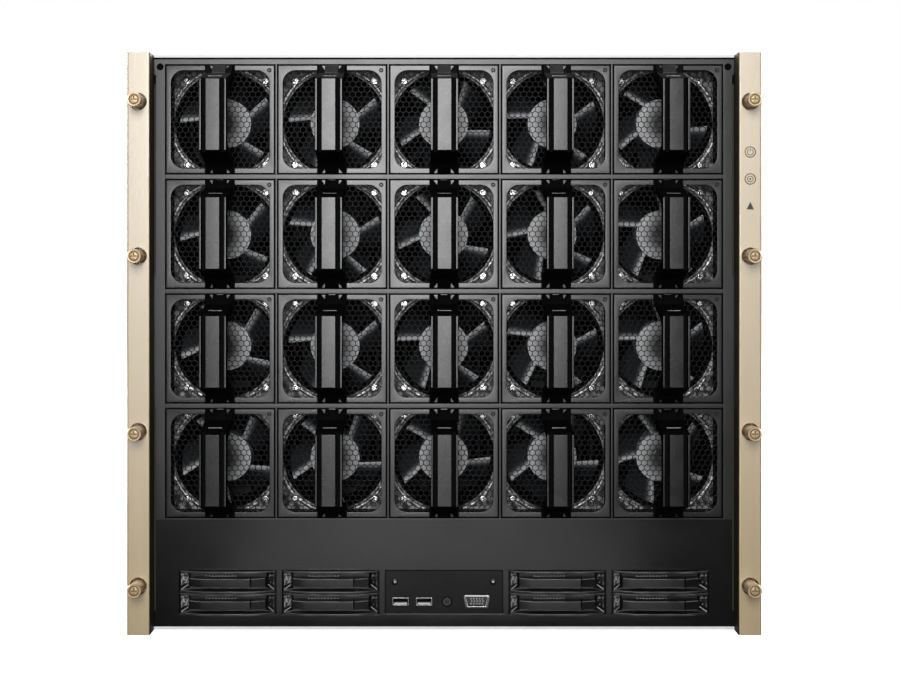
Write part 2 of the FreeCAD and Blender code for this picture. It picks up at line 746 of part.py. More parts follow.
def chassis_tub():
    """Folded floor and side walls with inward flanges, and the two tray shelves between them."""
    length = (PANEL_BACK, REAR_Y)
    pieces = [
        box((-TUB_HALF, TUB_HALF), length, (0, SHEET)),
        box((-HALF, HALF), (PANEL_Y, PANEL_BACK), (0, FLOOR_HEM)),
    ]
    for side in (1, -1):
        wall = sorted((side * INNER_HALF, side * TUB_HALF))
        flange = sorted((side * (TUB_HALF - COVER_FLANGE), side * TUB_HALF))
        pieces.append(box(wall, length, (0, COVER_Z)))
        pieces.append(box(flange, (PANEL_Y + FAN_BAY_DEPTH, REAR_Y), (COVER_Z - SHEET, COVER_Z)))
    shelves = [
        box((-INNER_HALF, INNER_HALF), (TRAY_FRONT, REAR_Y), (low, low + SHEET))
        for low in (GPU_Z, BOARD_TRAY_Z)
    ]
    return [fused(pieces)] + shelves


def top_cover():
    """Lid with side lips over the tub's walls and a hem at its front edge."""
    sheet = box((-HALF, HALF), (PANEL_Y, REAR_Y), (COVER_Z, HEIGHT))
    hem = box((-HALF, HALF), (PANEL_Y, PANEL_BACK), (PANEL_TOP, COVER_Z))
    lips = [
        box(sorted((side * TUB_HALF, side * HALF)), (PANEL_BACK, REAR_Y), (HEIGHT - COVER_LIP, COVER_Z))
        for side in (1, -1)
    ]
    return fused([sheet, hem] + lips)


# Rack ears, thumbscrews and push buttons

SCREW_X = HALF + EAR_WIDTH / 2
SCREW_INSETS = (OUTER_SCREW_INSET, INNER_SCREW_INSET)
SCREW_HEIGHTS = SCREW_INSETS + tuple(HEIGHT - inset for inset in reversed(SCREW_INSETS))
WELL_Y = EAR_Y + SCREW_WELL_DEPTH


def rack_ear(side):
    """Anodised bar with rounded front edges, screw wells and a flange on the chassis wall."""
    near = HALF
    far = HALF + EAR_WIDTH
    profile = [
        (side * near, EAR_BACK_Y, 0.0),
        (side * near, EAR_Y, EAR_CORNER),
        (side * far, EAR_Y, EAR_CORNER),
        (side * far, EAR_BACK_Y, 0.0),
    ]
    bar = prism(profile, "XY", (0, HEIGHT))
    flange_x = sorted((side * TUB_HALF, side * HALF))
    flange = box(flange_x, (PANEL_BACK, PANEL_BACK + EAR_FLANGE), (0, HEIGHT - COVER_LIP))
    cuts = []
    for z in SCREW_HEIGHTS:
        cuts.append(rod(side * SCREW_X, z, SCREW_WELL_RADIUS, (EAR_Y, WELL_Y)))
        cuts.append(rod(side * SCREW_X, z, STUD_DIAMETER / 2 + STUD_FIT, (EAR_Y, EAR_BACK_Y)))
    return fused([bar, flange]).cut(cuts)


def thumbscrew(x, z):
    """Captive screw: a knob with a flanged head, a neck in the ear and a stud behind it."""
    knob = KNOB_DIAMETER / 2
    tip = EAR_Y - KNOB_REACH
    head = tip + KNOB_HEAD
    neck = NECK_DIAMETER / 2
    stud = STUD_DIAMETER / 2
    end = EAR_BACK_Y + STUD_LENGTH
    profile = [
        (0, tip),
        (knob - KNOB_CHAMFER, tip),
        (knob, tip + KNOB_CHAMFER),
        (knob, head),
        (knob - KNOB_NECK, head),
        (knob - KNOB_NECK, WELL_Y),
        (neck, WELL_Y),
        (neck, EAR_BACK_Y),
        (stud, EAR_BACK_Y),
        (stud, end),
        (0, end),
    ]
    return turned(profile, x, z)


def button(x, z, diameter, y):
    """Round push button with a chamfered face between the pair y."""
    radius = diameter / 2
    profile = [
        (0, y[0]),
        (radius - BUTTON_CHAMFER, y[0]),
        (radius, y[0] + BUTTON_CHAMFER),
        (radius, y[1]),
        (0, y[1]),
    ]
    return turned(profile, x, z)


def triangle(x, z, side):
    """Corners of an upright triangle about a point."""
    half = side / 2
    return [(x - half, z - half, 0.0), (x + half, z - half, 0.0), (x, z + half, 0.0)]


def rack_ears():
    """Both ears; the right one has wells for its buttons and fault light."""
    save("left_rack_ear", [rack_ear(-1)])
    ear = rack_ear(1)
    button_y = (EAR_Y, EAR_Y + EAR_BUTTON_LENGTH)
    well = (EAR_Y, button_y[1] + BUTTON_TRAVEL + BUTTON_FIT)
    for name, drop in (("power_button", POWER_BUTTON_DROP), ("identify_button", IDENTIFY_BUTTON_DROP)):
        ear = ear.cut(rod(SCREW_X, HEIGHT - drop, EAR_BUTTON_DIAMETER / 2 + BUTTON_FIT, well))
        save(name, [button(SCREW_X, HEIGHT - drop, EAR_BUTTON_DIAMETER, button_y)])
    light_z = HEIGHT - FAULT_LIGHT_DROP
    light_y = (EAR_Y, EAR_Y + FAULT_LIGHT_DEPTH)
    lens = prism(triangle(SCREW_X, light_z, FAULT_LIGHT_SIDE), "XZ", light_y)
    pocket = prism(triangle(SCREW_X, light_z, FAULT_LIGHT_SIDE + 4 * FAULT_LIGHT_FIT), "XZ", light_y)
    save("right_rack_ear", [ear.cut(pocket), lens])
    screws = [thumbscrew(side * SCREW_X, z) for side in (-1, 1) for z in SCREW_HEIGHTS]
    save("rack_thumbscrews", screws)


# Console plate with its sockets

CONSOLE_TOP = CONSOLE_Z[1] - CONSOLE_GAP
CONSOLE_LOW = CONSOLE_Z[0] + CONSOLE_GAP
PORT_Z = CONSOLE_LOW + PORT_LIFT
BOARD_Z = PORT_Z - PORT_STEP
BUTTON_Z = CONSOLE_LOW + CONSOLE_BUTTON_RISE


def shell_of(corners, y, wall):
    """Open socket shell from its outer corners, with a closed back."""
    outer = prism(corners, "XZ", y)
    middle_u = sum(corner[0] for corner in corners) / len(corners)
    middle_v = sum(corner[1] for corner in corners) / len(corners)
    inner = []
    for u, v, radius in corners:
        inner.append((u - math.copysign(wall, u - middle_u), v - math.copysign(wall, v - middle_v), radius))
    return outer.cut(prism(inner, "XZ", (y[0], y[1] - wall)))


def widened(corners, fit):
    """The same corners moved out by a fit, for the hole that a shell passes through."""
    middle_u = sum(corner[0] for corner in corners) / len(corners)
    middle_v = sum(corner[1] for corner in corners) / len(corners)
    wider = []
    for u, v, radius in corners:
        wider.append((u + math.copysign(fit, u - middle_u), v + math.copysign(fit, v - middle_v), radius))
    return wider


def console_panel():
    """Flanged plate with two serial sockets, a video socket, two screws and a board."""
    plate_y = (PANEL_Y, PANEL_BACK)
    raised = rectangle(span(0, CONSOLE_WIDTH - 2 * CONSOLE_GAP), (CONSOLE_LOW, CONSOLE_TOP), CONSOLE_CORNER)
    flange_x = span(0, CONSOLE_WIDTH + 2 * CONSOLE_FLANGE)
    flange_z = (CONSOLE_Z[0] - CONSOLE_FLANGE, CONSOLE_Z[1] + CONSOLE_FLANGE)
    flange = box(flange_x, (PANEL_BACK, PANEL_BACK + SHEET), flange_z)
    guide_radius = CONSOLE_BUTTON_DIAMETER / 2 + BUTTON_FIT
    button_y = (PANEL_Y, PANEL_Y + CONSOLE_BUTTON_LENGTH)
    guide_y = (PANEL_BACK, button_y[1] + BUTTON_TRAVEL + BUTTON_FIT)
    guide = rod(CONSOLE_BUTTON_X, BUTTON_Z, guide_radius + BUTTON_GUIDE_WALL, guide_y)
    plate = fused([prism(raised, "XZ", plate_y), flange, guide])
    plate = plate.cut(rod(CONSOLE_BUTTON_X, BUTTON_Z, guide_radius, (PANEL_Y, guide_y[1])))
    save("console_button", [button(CONSOLE_BUTTON_X, BUTTON_Z, CONSOLE_BUTTON_DIAMETER, button_y)])

    through = (PANEL_Y, PANEL_BACK + SHEET)
    board_y = (guide_y[1] + BUTTON_FIT, guide_y[1] + BUTTON_FIT + BOARD_DEPTH)
    pieces = [box(span(0, CONSOLE_WIDTH), board_y, (BOARD_Z - BOARD_SHEET, BOARD_Z))]
    for x in USB_X:
        corners = rectangle(span(x, USB_WIDTH), (PORT_Z, PORT_Z + USB_HEIGHT))
        plate = plate.cut(prism(widened(corners, PORT_FIT), "XZ", through))
        socket = shell_of(corners, (PANEL_Y, PANEL_Y + USB_DEPTH), USB_WALL)
        tongue_z = (PORT_Z + USB_HEIGHT / 2, PORT_Z + USB_HEIGHT - 3 * USB_WALL)
        tongue_y = (PANEL_Y + USB_WALL, PANEL_Y + USB_DEPTH)
        tongue = box(span(x, USB_WIDTH - 4 * USB_WALL), tongue_y, tongue_z)
        stand = box(span(x, USB_WIDTH), (board_y[0], PANEL_Y + USB_DEPTH), (BOARD_Z, PORT_Z))
        pieces.append(fused([socket, tongue, stand]))
    top = span(VGA_X, VGA_WIDTH)
    low = span(VGA_X, VGA_WIDTH - 2 * VGA_TAPER)
    video = [
        (low[0], BOARD_Z, 0.0),
        (low[1], BOARD_Z, 0.0),
        (top[1], BOARD_Z + VGA_HEIGHT, 0.0),
        (top[0], BOARD_Z + VGA_HEIGHT, 0.0),
    ]
    plate = plate.cut(prism(widened(video, PORT_FIT), "XZ", through))
    pieces.append(shell_of(video, (PANEL_Y, PANEL_Y + VGA_DEPTH), VGA_WALL))
    screw_z = CONSOLE_TOP - CONSOLE_SCREW_DROP
    for side in (-1, 1):
        screw_y = (PANEL_Y + PANEL_SHEET / 2, PANEL_BACK + SHEET)
        plate = plate.cut(rod(side * CONSOLE_SCREW_X, screw_z, CONSOLE_SCREW_RADIUS, through))
        pieces.append(rod(side * CONSOLE_SCREW_X, screw_z, CONSOLE_SCREW_RADIUS - PORT_FIT, screw_y))
    save("console_panel", [plate] + pieces)


# Rear trays and power supplies

TRAY_HALF = INNER_HALF - TRAY_FIT


def tray_pan(z):
    """Tray floor and its two side rails, open at the front and top."""
    length = (TRAY_FRONT, REAR_Y - REAR_SHEET)
    pan = [box((-TRAY_HALF, TRAY_HALF), length, (z[0], z[0] + SHEET))]
    for side in (1, -1):
        rail = sorted((side * TRAY_HALF, side * (TRAY_HALF - SHEET)))
        pan.append(box(rail, length, (z[0] + SHEET, z[1])))
    return pan


def finned(x, y, z):
    """Heat sink: a base with upright fins that run from front to rear."""
    pitch = (x[1] - x[0]) / SINK_FINS
    fins = [box(x, y, (z[0], z[0] + SINK_BASE))]
    for i in range(SINK_FINS):
        fins.append(box(span(x[0] + (i + 0.5) * pitch, FIN_SHARE * pitch), y, (z[0] + SINK_BASE, z[1])))
    return fused(fins)


def tray_pulls(z):
    """Pair of bow-shaped pulls on the rear plate."""
    tip = REAR_Y + PULL_REACH
    bottom, top = span(z, PULL_HEIGHT)
    inner = max(PULL_CORNER - PULL_SHEET, 0.0)
    bow = [
        (REAR_Y, bottom, 0.0),
        (tip, bottom, PULL_CORNER),
        (tip, top, PULL_CORNER),
        (REAR_Y, top, 0.0),
        (REAR_Y, top - PULL_SHEET, 0.0),
        (tip - PULL_SHEET, top - PULL_SHEET, inner),
        (tip - PULL_SHEET, bottom + PULL_SHEET, inner),
        (REAR_Y, bottom + PULL_SHEET, 0.0),
    ]
    pulls = []
    for side in (1, -1):
        x = sorted((side * (TRAY_HALF - PULL_INSET), side * (TRAY_HALF - PULL_INSET - PULL_WIDTH)))
        pulls.append(prism(bow, "YZ", x))
    return pulls


def gpu_tray():
    """Tray with baseboard, heat sinks and honeycomb exhaust windows."""
    z = (GPU_Z + SHEET, GPU_Z + SHEET + GPU_TRAY_HEIGHT)
    rear = (REAR_Y - REAR_SHEET, REAR_Y)
    plate = box((-TRAY_HALF, TRAY_HALF), rear, z)
    clear = TRAY_HALF - PULL_INSET - PULL_WIDTH
    window_w = 2 * clear / WINDOW_COLUMNS
    window_h = (GPU_TRAY_HEIGHT - 2 * SHEET) / WINDOW_ROWS
    pieces = []
    for row in range(WINDOW_ROWS):
        for column in range(WINDOW_COLUMNS):
            x = span((column + 0.5) * window_w - clear, window_w - WINDOW_BORDER)
            low = z[0] + SHEET + (row + 0.5) * window_h
            vent = span(low, window_h - WINDOW_BORDER)
            plate = plate.cut(box(x, rear, vent))
            sheet_x = (x[0] + GRILLE_FIT, x[1] - GRILLE_FIT)
            sheet_z = (vent[0] + GRILLE_FIT, vent[1] - GRILLE_FIT)
            pieces.append(honeycomb(sheet_x, sheet_z, rear, EXHAUST_PITCH, EXHAUST_WEB, EXHAUST_WEB))
    board_z = (z[0] + SHEET, z[0] + SHEET + BOARD_SHEET)
    board_half = TRAY_HALF - SHEET - PORT_FIT
    length = (TRAY_FRONT, REAR_Y - REAR_SHEET - SINK_GAP)
    pieces.append(box((-board_half, board_half), length, board_z))
    cell_w = 2 * board_half / SINK_COLUMNS
    cell_d = (length[1] - length[0]) / SINK_ROWS
    for row in range(SINK_ROWS):
        for column in range(SINK_COLUMNS):
            x = span((column + 0.5) * cell_w - board_half, cell_w - SINK_GAP)
            y = span(length[0] + (row + 0.5) * cell_d, cell_d - SINK_GAP)
            pieces.append(finned(x, y, (board_z[1], z[1] - SINK_GAP)))
    return tray_pan(z) + [plate] + pieces + tray_pulls(sum(z) / 2)


def motherboard_tray():
    """Tray with its board, processor heat sinks, adapter brackets and network cages."""
    z = (BOARD_TRAY_Z + SHEET, COVER_Z - SHEET - TRAY_FIT)
    rear = (REAR_Y - REAR_SHEET, REAR_Y)
    plate = box((-TRAY_HALF, TRAY_HALF), rear, z)
    board_half = TRAY_HALF - SHEET - PORT_FIT
    board_z = (z[0] + SHEET, z[0] + SHEET + BOARD_SHEET)
    pieces = [box((-board_half, board_half), (TRAY_FRONT, REAR_Y - REAR_SHEET), board_z)]
    room = z[1] - board_z[1]
    middle = (z[1] + board_z[1]) / 2
    bracket_z = span(middle, min(ADAPTER_HEIGHT, room - 2 * SHEET))
    first = -TRAY_HALF + PULL_INSET + PULL_WIDTH + ADAPTER_PITCH
    for i in range(ADAPTERS):
        x = span(first + i * ADAPTER_PITCH, ADAPTER_WIDTH)
        slot_z = (bracket_z[0] + REAR_SHEET, bracket_z[1] - REAR_SHEET)
        plate = plate.cut(box((x[0] + REAR_SHEET, x[1] - REAR_SHEET), rear, slot_z))
        pieces.append(box(x, (REAR_Y - 2 * REAR_SHEET, REAR_Y - REAR_SHEET), bracket_z))
    cage_first = first + ADAPTERS * ADAPTER_PITCH + CAGE_WIDTH / 2
    cage_y = (REAR_Y - CAGE_DEPTH, REAR_Y)
    cage_z = (board_z[1], board_z[1] + CAGE_HEIGHT)
    for i in range(CAGES):
        x = span(cage_first + i * CAGE_PITCH, CAGE_WIDTH)
        hole = (x[0] - PORT_FIT, x[1] + PORT_FIT)
        plate = plate.cut(box(hole, rear, (cage_z[0], cage_z[1] + PORT_FIT)))
        hollow = box(
            (x[0] + CAGE_WALL, x[1] - CAGE_WALL),
            (cage_y[0] + CAGE_WALL, cage_y[1]),
            (cage_z[0] + CAGE_WALL, cage_z[1] - CAGE_WALL),
        )
        pieces.append(box(x, cage_y, cage_z).cut(hollow))
    sink_y = (TRAY_FRONT + SINK_GAP, TRAY_FRONT + (REAR_Y - TRAY_FRONT) / SINK_ROWS - SINK_GAP)
    for side in (1, -1):
        sink_x = span(side * board_half / 2, board_half / 2)
        pieces.append(finned(sink_x, sink_y, (board_z[1], z[1] - SINK_GAP)))
    return tray_pan(z) + [plate] + pieces + tray_pulls(middle)


def power_supply(x):
    """Case with vent slots, a recessed mains inlet with pins, and a pull grip."""
    z = (SHEET, SHEET + SUPPLY_HEIGHT)
    middle = sum(z) / 2
    case = box(x, (REAR_Y - SUPPLY_DEPTH, REAR_Y), z)
    inlet_x = span(x[1] - SUPPLY_GAP - INLET_SIDE, INLET_WIDTH)
    inlet_z = span(middle, INLET_HEIGHT)
    inlet_y = (REAR_Y - INLET_DEPTH, REAR_Y)
    socket = box(inlet_x, inlet_y, inlet_z)
    well = box(
        (inlet_x[0] + INLET_WALL, inlet_x[1] - INLET_WALL),
        (inlet_y[0] + INLET_WALL, REAR_Y),
        (inlet_z[0] + INLET_WALL, inlet_z[1] - INLET_WALL),
    )
    pin_y = (inlet_y[0], inlet_y[0] + PIN_LENGTH)
    pins = [
        box(span(sum(inlet_x) / 2 + step * PIN_PITCH, PIN_WIDTH), pin_y, span(middle, PIN_HEIGHT))
        for step in (-1, 0, 1)
    ]
    inlet = fused([socket.cut(well)] + pins)
    pocket = box(
        (inlet_x[0] - PORT_FIT, inlet_x[1] + PORT_FIT),
        inlet_y,
        (inlet_z[0] - PORT_FIT, inlet_z[1] + PORT_FIT),
    )
    case = case.cut(pocket)
    grip_x = span(x[0] + GRIP_SIDE + GRIP_LENGTH / 2, GRIP_LENGTH)
    grip_z = span(middle, GRIP_DEPTH)
    grip_y = (REAR_Y, REAR_Y + REAR_REACH)
    inner = max(GRIP_CORNER - GRIP_SHEET, 0.0)
    loop = [
        (grip_x[0], REAR_Y, 0.0),
        (grip_x[0], grip_y[1], GRIP_CORNER),
        (grip_x[1], grip_y[1], GRIP_CORNER),
        (grip_x[1], REAR_Y, 0.0),
        (grip_x[1] - GRIP_SHEET, REAR_Y, 0.0),
        (grip_x[1] - GRIP_SHEET, grip_y[1] - GRIP_SHEET, inner),
        (grip_x[0] + GRIP_SHEET, grip_y[1] - GRIP_SHEET, inner),
        (grip_x[0] + GRIP_SHEET, REAR_Y, 0.0),
    ]
    grip = prism(loop, "XY", grip_z)
    vents = []
    for i in range(VENT_SLOTS):
        slot_x = span(sum(grip_x) / 2 + (i - (VENT_SLOTS - 1) / 2) * VENT_PITCH, VENT_WIDTH)
        for slot_z in (grip_z[0] - VENT_HEIGHT - SHEET, grip_z[1] + SHEET):
            vents.append(box(slot_x, (REAR_Y - VENT_DEPTH, REAR_Y), (slot_z, slot_z + VENT_HEIGHT)))
    return [case.cut(vents), inlet, grip]


def power_supplies():
    """Row of supplies under the lower shelf, each with a gap beside it."""
    pitch = 2 * INNER_HALF / SUPPLIES
    pieces = []
    for i in range(SUPPLIES):
        pieces += power_supply(span((i + 0.5) * pitch - INNER_HALF, pitch - SUPPLY_GAP))
    return pieces


os.makedirs("parts", exist_ok=True)
fan_wall()
drive_bays()
rack_ears()
console_panel()
save("front_panel", [face_sheet(), fan_backplane()] + fan_cage() + drive_cages())
save("chassis_tub", chassis_tub())
save("top_cover", [top_cover()])
save("rear_trays", gpu_tray() + motherboard_tray())
save("power_supplies", power_supplies())
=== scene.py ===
import math

import bmesh
import bpy
from mathutils import Matrix, Vector


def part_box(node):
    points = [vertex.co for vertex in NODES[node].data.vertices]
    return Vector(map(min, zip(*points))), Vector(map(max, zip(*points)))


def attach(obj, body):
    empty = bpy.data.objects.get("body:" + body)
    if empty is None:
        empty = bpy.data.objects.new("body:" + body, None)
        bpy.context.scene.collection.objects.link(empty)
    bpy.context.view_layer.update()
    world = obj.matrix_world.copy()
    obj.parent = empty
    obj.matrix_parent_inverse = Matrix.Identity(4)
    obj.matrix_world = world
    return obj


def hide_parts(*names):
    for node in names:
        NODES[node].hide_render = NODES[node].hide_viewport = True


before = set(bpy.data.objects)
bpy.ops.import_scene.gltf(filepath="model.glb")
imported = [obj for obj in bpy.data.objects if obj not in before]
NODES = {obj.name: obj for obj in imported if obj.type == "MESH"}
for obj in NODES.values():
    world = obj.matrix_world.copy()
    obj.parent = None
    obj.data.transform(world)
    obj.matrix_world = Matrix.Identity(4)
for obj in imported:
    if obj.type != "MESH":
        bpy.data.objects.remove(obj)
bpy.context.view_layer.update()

MM = 0.001
ROWS, COLUMNS = 4, 5
CARRIERS = 8


def corners_mm(node):
    """Lowest and highest corner of a node, in millimetres."""
    low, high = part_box(node)
    return low / MM, high / MM


PANEL_LOW, PANEL_HIGH = corners_mm("front_panel")
PANEL_Y = PANEL_LOW.y
EAR_LOW, EAR_HIGH = corners_mm("right_rack_ear")
EAR_Y = EAR_LOW.y
COVER_HIGH = corners_mm("top_cover")[1]
REAR_Y = COVER_HIGH.y

# Limits that sort faces: a normal's Y on a front face and on one that leans forward, and how near a
# plane in millimetres still counts as on it
FRONT_NORMAL = -0.9
FORWARD_NORMAL = -0.5
FLUSH = 0.1


# Materials: every one has its colour, roughness and relief from noise

# Keeps the noise's own origin away from the middle of each piece
PATTERN_SHIFT = (0.731, 0.417, 0.593)
DRIFT_DETAIL = 5.0
POLISH_LOW, POLISH_HIGH = 0.3, 0.7
GRAIN_DETAIL = 3.0
GRAIN_HEIGHT = 0.0003


def shader_node(tree, kind, values=None, links=None, operation=None):
    """Adds a node with constant inputs, and with links from outputs of other nodes."""
    node = tree.nodes.new("ShaderNode" + kind)
    if kind == "Mix":
        node.data_type = "RGBA"
    if operation:
        node.operation = operation
    for socket, value in (values or {}).items():
        node.inputs[socket].default_value = value
    for socket, source in (links or {}).items():
        tree.links.new(source, node.inputs[socket])
    return node


def finish(
    name, low, high, roughness, metallic=0.0, scale=40.0, grain=900.0, relief=0.15, stretch=(1, 1, 1),
    ior=1.5, blend=(0.0, 1.0), fade=None, cells=False,
):
    """Surface that drifts between two colours and two roughnesses, with a fine grain.

    A narrow blend gives hard patches, cells give a spangle, and a fade is (along, near, far, colour, power).
    """
    material = bpy.data.materials.new(name)
    material.use_nodes = True
    tree = material.node_tree
    shader = tree.nodes["Principled BSDF"]
    shader.inputs["Metallic"].default_value = metallic
    shader.inputs["IOR"].default_value = ior
    position = shader_node(tree, "TexCoord").outputs["Object"]
    shifted = {"Location": PATTERN_SHIFT, "Scale": stretch}
    pattern = {"Vector": shader_node(tree, "Mapping", shifted, {"Vector": position}).outputs["Vector"]}
    if cells:
        drift = shader_node(tree, "TexVoronoi", {"Scale": scale, "Detail": 0.0}, pattern)
    else:
        drift = shader_node(tree, "TexNoise", {"Scale": scale, "Detail": DRIFT_DETAIL}, pattern)
    spread = drift.outputs["Color" if cells else "Fac"]
    patches = shader_node(tree, "MapRange", {"From Min": blend[0], "From Max": blend[1]}, {"Value": spread})
    mix = shader_node(tree, "Mix", {"A": (*low, 1), "B": (*high, 1)}, {"Factor": patches.outputs["Result"]})
    colour = mix.outputs["Result"]
    if fade:
        colour = faded(tree, position, colour, *fade)
    polish = shader_node(tree, "MapRange", {
        "From Min": POLISH_LOW, "From Max": POLISH_HIGH, "To Min": roughness[0], "To Max": roughness[1],
    }, {"Value": spread})
    fine = shader_node(tree, "TexNoise", {"Scale": grain, "Detail": GRAIN_DETAIL}, pattern)
    bump = shader_node(
        tree, "Bump", {"Strength": relief, "Distance": GRAIN_HEIGHT}, {"Height": fine.outputs["Fac"]},
    )
    tree.links.new(colour, shader.inputs["Base Color"])
    tree.links.new(polish.outputs["Result"], shader.inputs["Roughness"])
    tree.links.new(bump.outputs["Normal"], shader.inputs["Normal"])
    return material


def faded(tree, position, colour, along, near, far, second, power):
    """Mixes in a second colour that is lost between two distances, along Y or out from the Y axis."""
    axes, way = ((0, 1, 0), "DOT_PRODUCT") if along == "Y" else ((1, 0, 1), "LENGTH")
    kept = shader_node(tree, "VectorMath", {1: axes}, {0: position}, "MULTIPLY")
    measure = shader_node(tree, "VectorMath", {1: (0, 1, 0)}, {0: kept.outputs["Vector"]}, way)
    depth = shader_node(
        tree, "MapRange", {"From Min": near, "From Max": far, "To Min": 1.0, "To Max": 0.0},
        {"Value": measure.outputs["Value"]},
    )
    curve = shader_node(tree, "Math", {1: power}, {0: depth.outputs["Result"]}, "POWER")
    mix = shader_node(tree, "Mix", {"B": (*second, 1)}, {"Factor": curve.outputs["Value"], "A": colour})
    return mix.outputs["Result"]


def grey(value, cool=0.0):
    """Grey that leans to blue by a share."""
    return (value, value * (1 + cool / 2), value * (1 + cool))


# Black coats and mouldings
BLACK = finish(
    "black_powder_coat", grey(0.003), grey(0.006), (0.36, 0.43), scale=25, grain=1500, relief=0.4, ior=1.52,
)
FACE = finish(
    "panel_coat", grey(0.001), grey(0.002), (0.22, 0.26), scale=25, grain=2600, relief=0.08, ior=1.56,
)
PLATE = finish(
    "black_plate", grey(0.003), grey(0.006), (0.26, 0.31), scale=30, grain=2600, relief=0.12, ior=1.58,
)
HANDLE = finish(
    "handle_moulding", grey(0.003), grey(0.005), (0.26, 0.31), scale=60, grain=3400, relief=0.1, ior=1.53,
)
# Painted highlight: a light line across the handle's upper leg
CREASE_HIGHLIGHT = finish("handle_painted_highlight", grey(0.75), grey(0.85), (0.4, 0.5), scale=60, grain=3400, relief=0.1)
SHELF = finish(
    "cage_sheet", grey(0.003), grey(0.006), (0.3, 0.36), scale=30, grain=2600, relief=0.12, ior=1.54,
)
# Painted shade: a near-black moulding with almost no sheen, for faces and pieces that lie in shade
PAINTED_SHADE = finish(
    "painted_shade_moulding", grey(0.002), grey(0.004), (0.6, 0.75), scale=60, grain=3400, relief=0.2, ior=1.08,
)
# Dimmer black: painted shade on the handle's upper slope, and the console plate's coat
MATT_COAT_AND_SHADE = finish("matt_coat_and_painted_shade", grey(0.002), grey(0.004), (0.28, 0.33), scale=60, grain=3400, relief=0.1, ior=1.3)
DARK = finish("shadow_black", grey(0.004), grey(0.007), (0.6, 0.75), scale=50)
INK = finish("dark_marking", grey(0.03), grey(0.05), (0.5, 0.6), scale=200)
LENS = finish("light_lens", grey(0.006), grey(0.012), (0.5, 0.6), scale=300, relief=0.05, ior=1.3)
TAB = finish("release_tab", (0.16, 0.05, 0.02), (0.22, 0.075, 0.03), (0.36, 0.46), scale=90, relief=0.1)

# Fans
GRILLE = finish("grille_sheet", grey(0.003), grey(0.006), (0.36, 0.46), scale=50, grain=2000, ior=1.16)
# Painted glint: the honeycomb's cell walls are lighter than its rims
GRILLE_WALL_GLINT = finish("grille_wall_painted_glint", grey(0.05), grey(0.1), (0.3, 0.4), scale=50, grain=2000)
FRAME = finish(
    "fan_casting", grey(0.003), grey(0.006), (0.5, 0.6), scale=80, grain=1500, relief=0.1, ior=1.12,
)
# Painted glints: bright patches on the front of the fan frames' corners
CORNER_GLINTS = finish(
    "fan_corner_painted_glints", grey(0.01), grey(0.4), (0.3, 0.45), scale=210, grain=1500, relief=0.4, blend=(0.44, 0.62),
)
# Metal lips of the bell mouths, whose patchy bright colour is a painted glint
LIP = finish(
    "fan_lip", grey(0.15), grey(0.8), (0.36, 0.5),
    metallic=0.8, scale=260, grain=1500, relief=0.3, blend=(0.4, 0.62),
)
SLEEVE = finish("dark_sleeve", grey(0.002), grey(0.004), (0.5, 0.65), scale=60, ior=1.08)
HUB = finish(
    "fan_hub", grey(0.42, 0.04), grey(0.56, 0.04), (0.34, 0.42), scale=60, grain=1800, relief=0.1,
    fade=("radius", 7 * MM, 19 * MM, grey(0.05), 1.2),
)
# Distance of the blades' leading edges behind the hub's front, where the painted light on the blades is
# brightest
BLADE_SET = 3.0
BLADE_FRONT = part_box("fan_rotor_r1c1")[0].y + BLADE_SET * MM
# Dark blades that turn pale towards their leading edges, as painted light
BLADE = finish(
    "fan_blade", grey(0.014, 0.3), grey(0.03, 0.3), (0.2, 0.3), scale=60, grain=1800, relief=0.1,
    fade=("Y", BLADE_FRONT, BLADE_FRONT + 5 * MM, grey(0.55, 0.08), 3.0),
)

# Ears and screws
EAR = finish(
    "champagne_anodised", (0.35, 0.235, 0.07), (0.41, 0.277, 0.085), (0.4, 0.47),
    scale=30, grain=500, relief=0.2, stretch=(6, 6, 0.25), ior=3.05,
)
# Painted shade on the ears' sides towards the panel
EAR_SHADE = finish(
    "ear_painted_shade", (0.02, 0.017, 0.009), (0.032, 0.026, 0.014), (0.5, 0.6), scale=60, ior=1.3,
)
# Painted shade in the thumbscrews' cross recesses and grooves
KNOB_RECESS_SHADE = finish(
    "knob_recess_painted_shade", (0.2, 0.135, 0.06), (0.26, 0.18, 0.085), (0.4, 0.5), metallic=0.3, scale=150, grain=1500,
)
GOLD = finish(
    "gold_knob", (0.58, 0.42, 0.25), (0.72, 0.54, 0.33), (0.32, 0.42), metallic=0.35, scale=120, grain=1500,
)
STEEL = finish("bright_steel", grey(0.52), grey(0.66), (0.2, 0.32), metallic=1.0, scale=150, grain=1500)
STEEL_DARK = finish("black_steel", grey(0.03), grey(0.06), (0.3, 0.4), metallic=0.9, scale=150, grain=1500)

# Drive carriers
CARRIER = finish(
    "carrier_moulding", grey(0.003), grey(0.006), (0.32, 0.4), scale=80, grain=3000, relief=0.2, ior=1.4,
)
LEVER = finish(
    "lever_moulding", grey(0.003), grey(0.006), (0.32, 0.4), scale=80, grain=3000, relief=0.1, ior=1.45,
)
# Painted highlight for the edges of the carriers' front faces
GLINT = finish(
    "painted_edge_highlight", grey(0.03), grey(0.2), (0.3, 0.4), scale=90, grain=2500, relief=0.1, blend=(0.35, 0.6),
)
PALE = finish(
    "pale_moulding", grey(0.02), grey(0.46), (0.35, 0.5),
    scale=520, grain=2500, relief=0.5, blend=(0.46, 0.58),
)
DOTTED = finish(
    "dotted_moulding", grey(0.004), grey(0.3), (0.35, 0.5),
    scale=560, grain=2500, relief=0.5, blend=(0.55, 0.66),
)
# Pale grey for the rims of the video socket's pin holes, and painted highlights on the carriers' end edges
# and in the console screws' sockets
RIM = finish("pale_rim_and_painted_highlight", grey(0.4), grey(0.55), (0.3, 0.4), scale=300, grain=2500, relief=0.1)

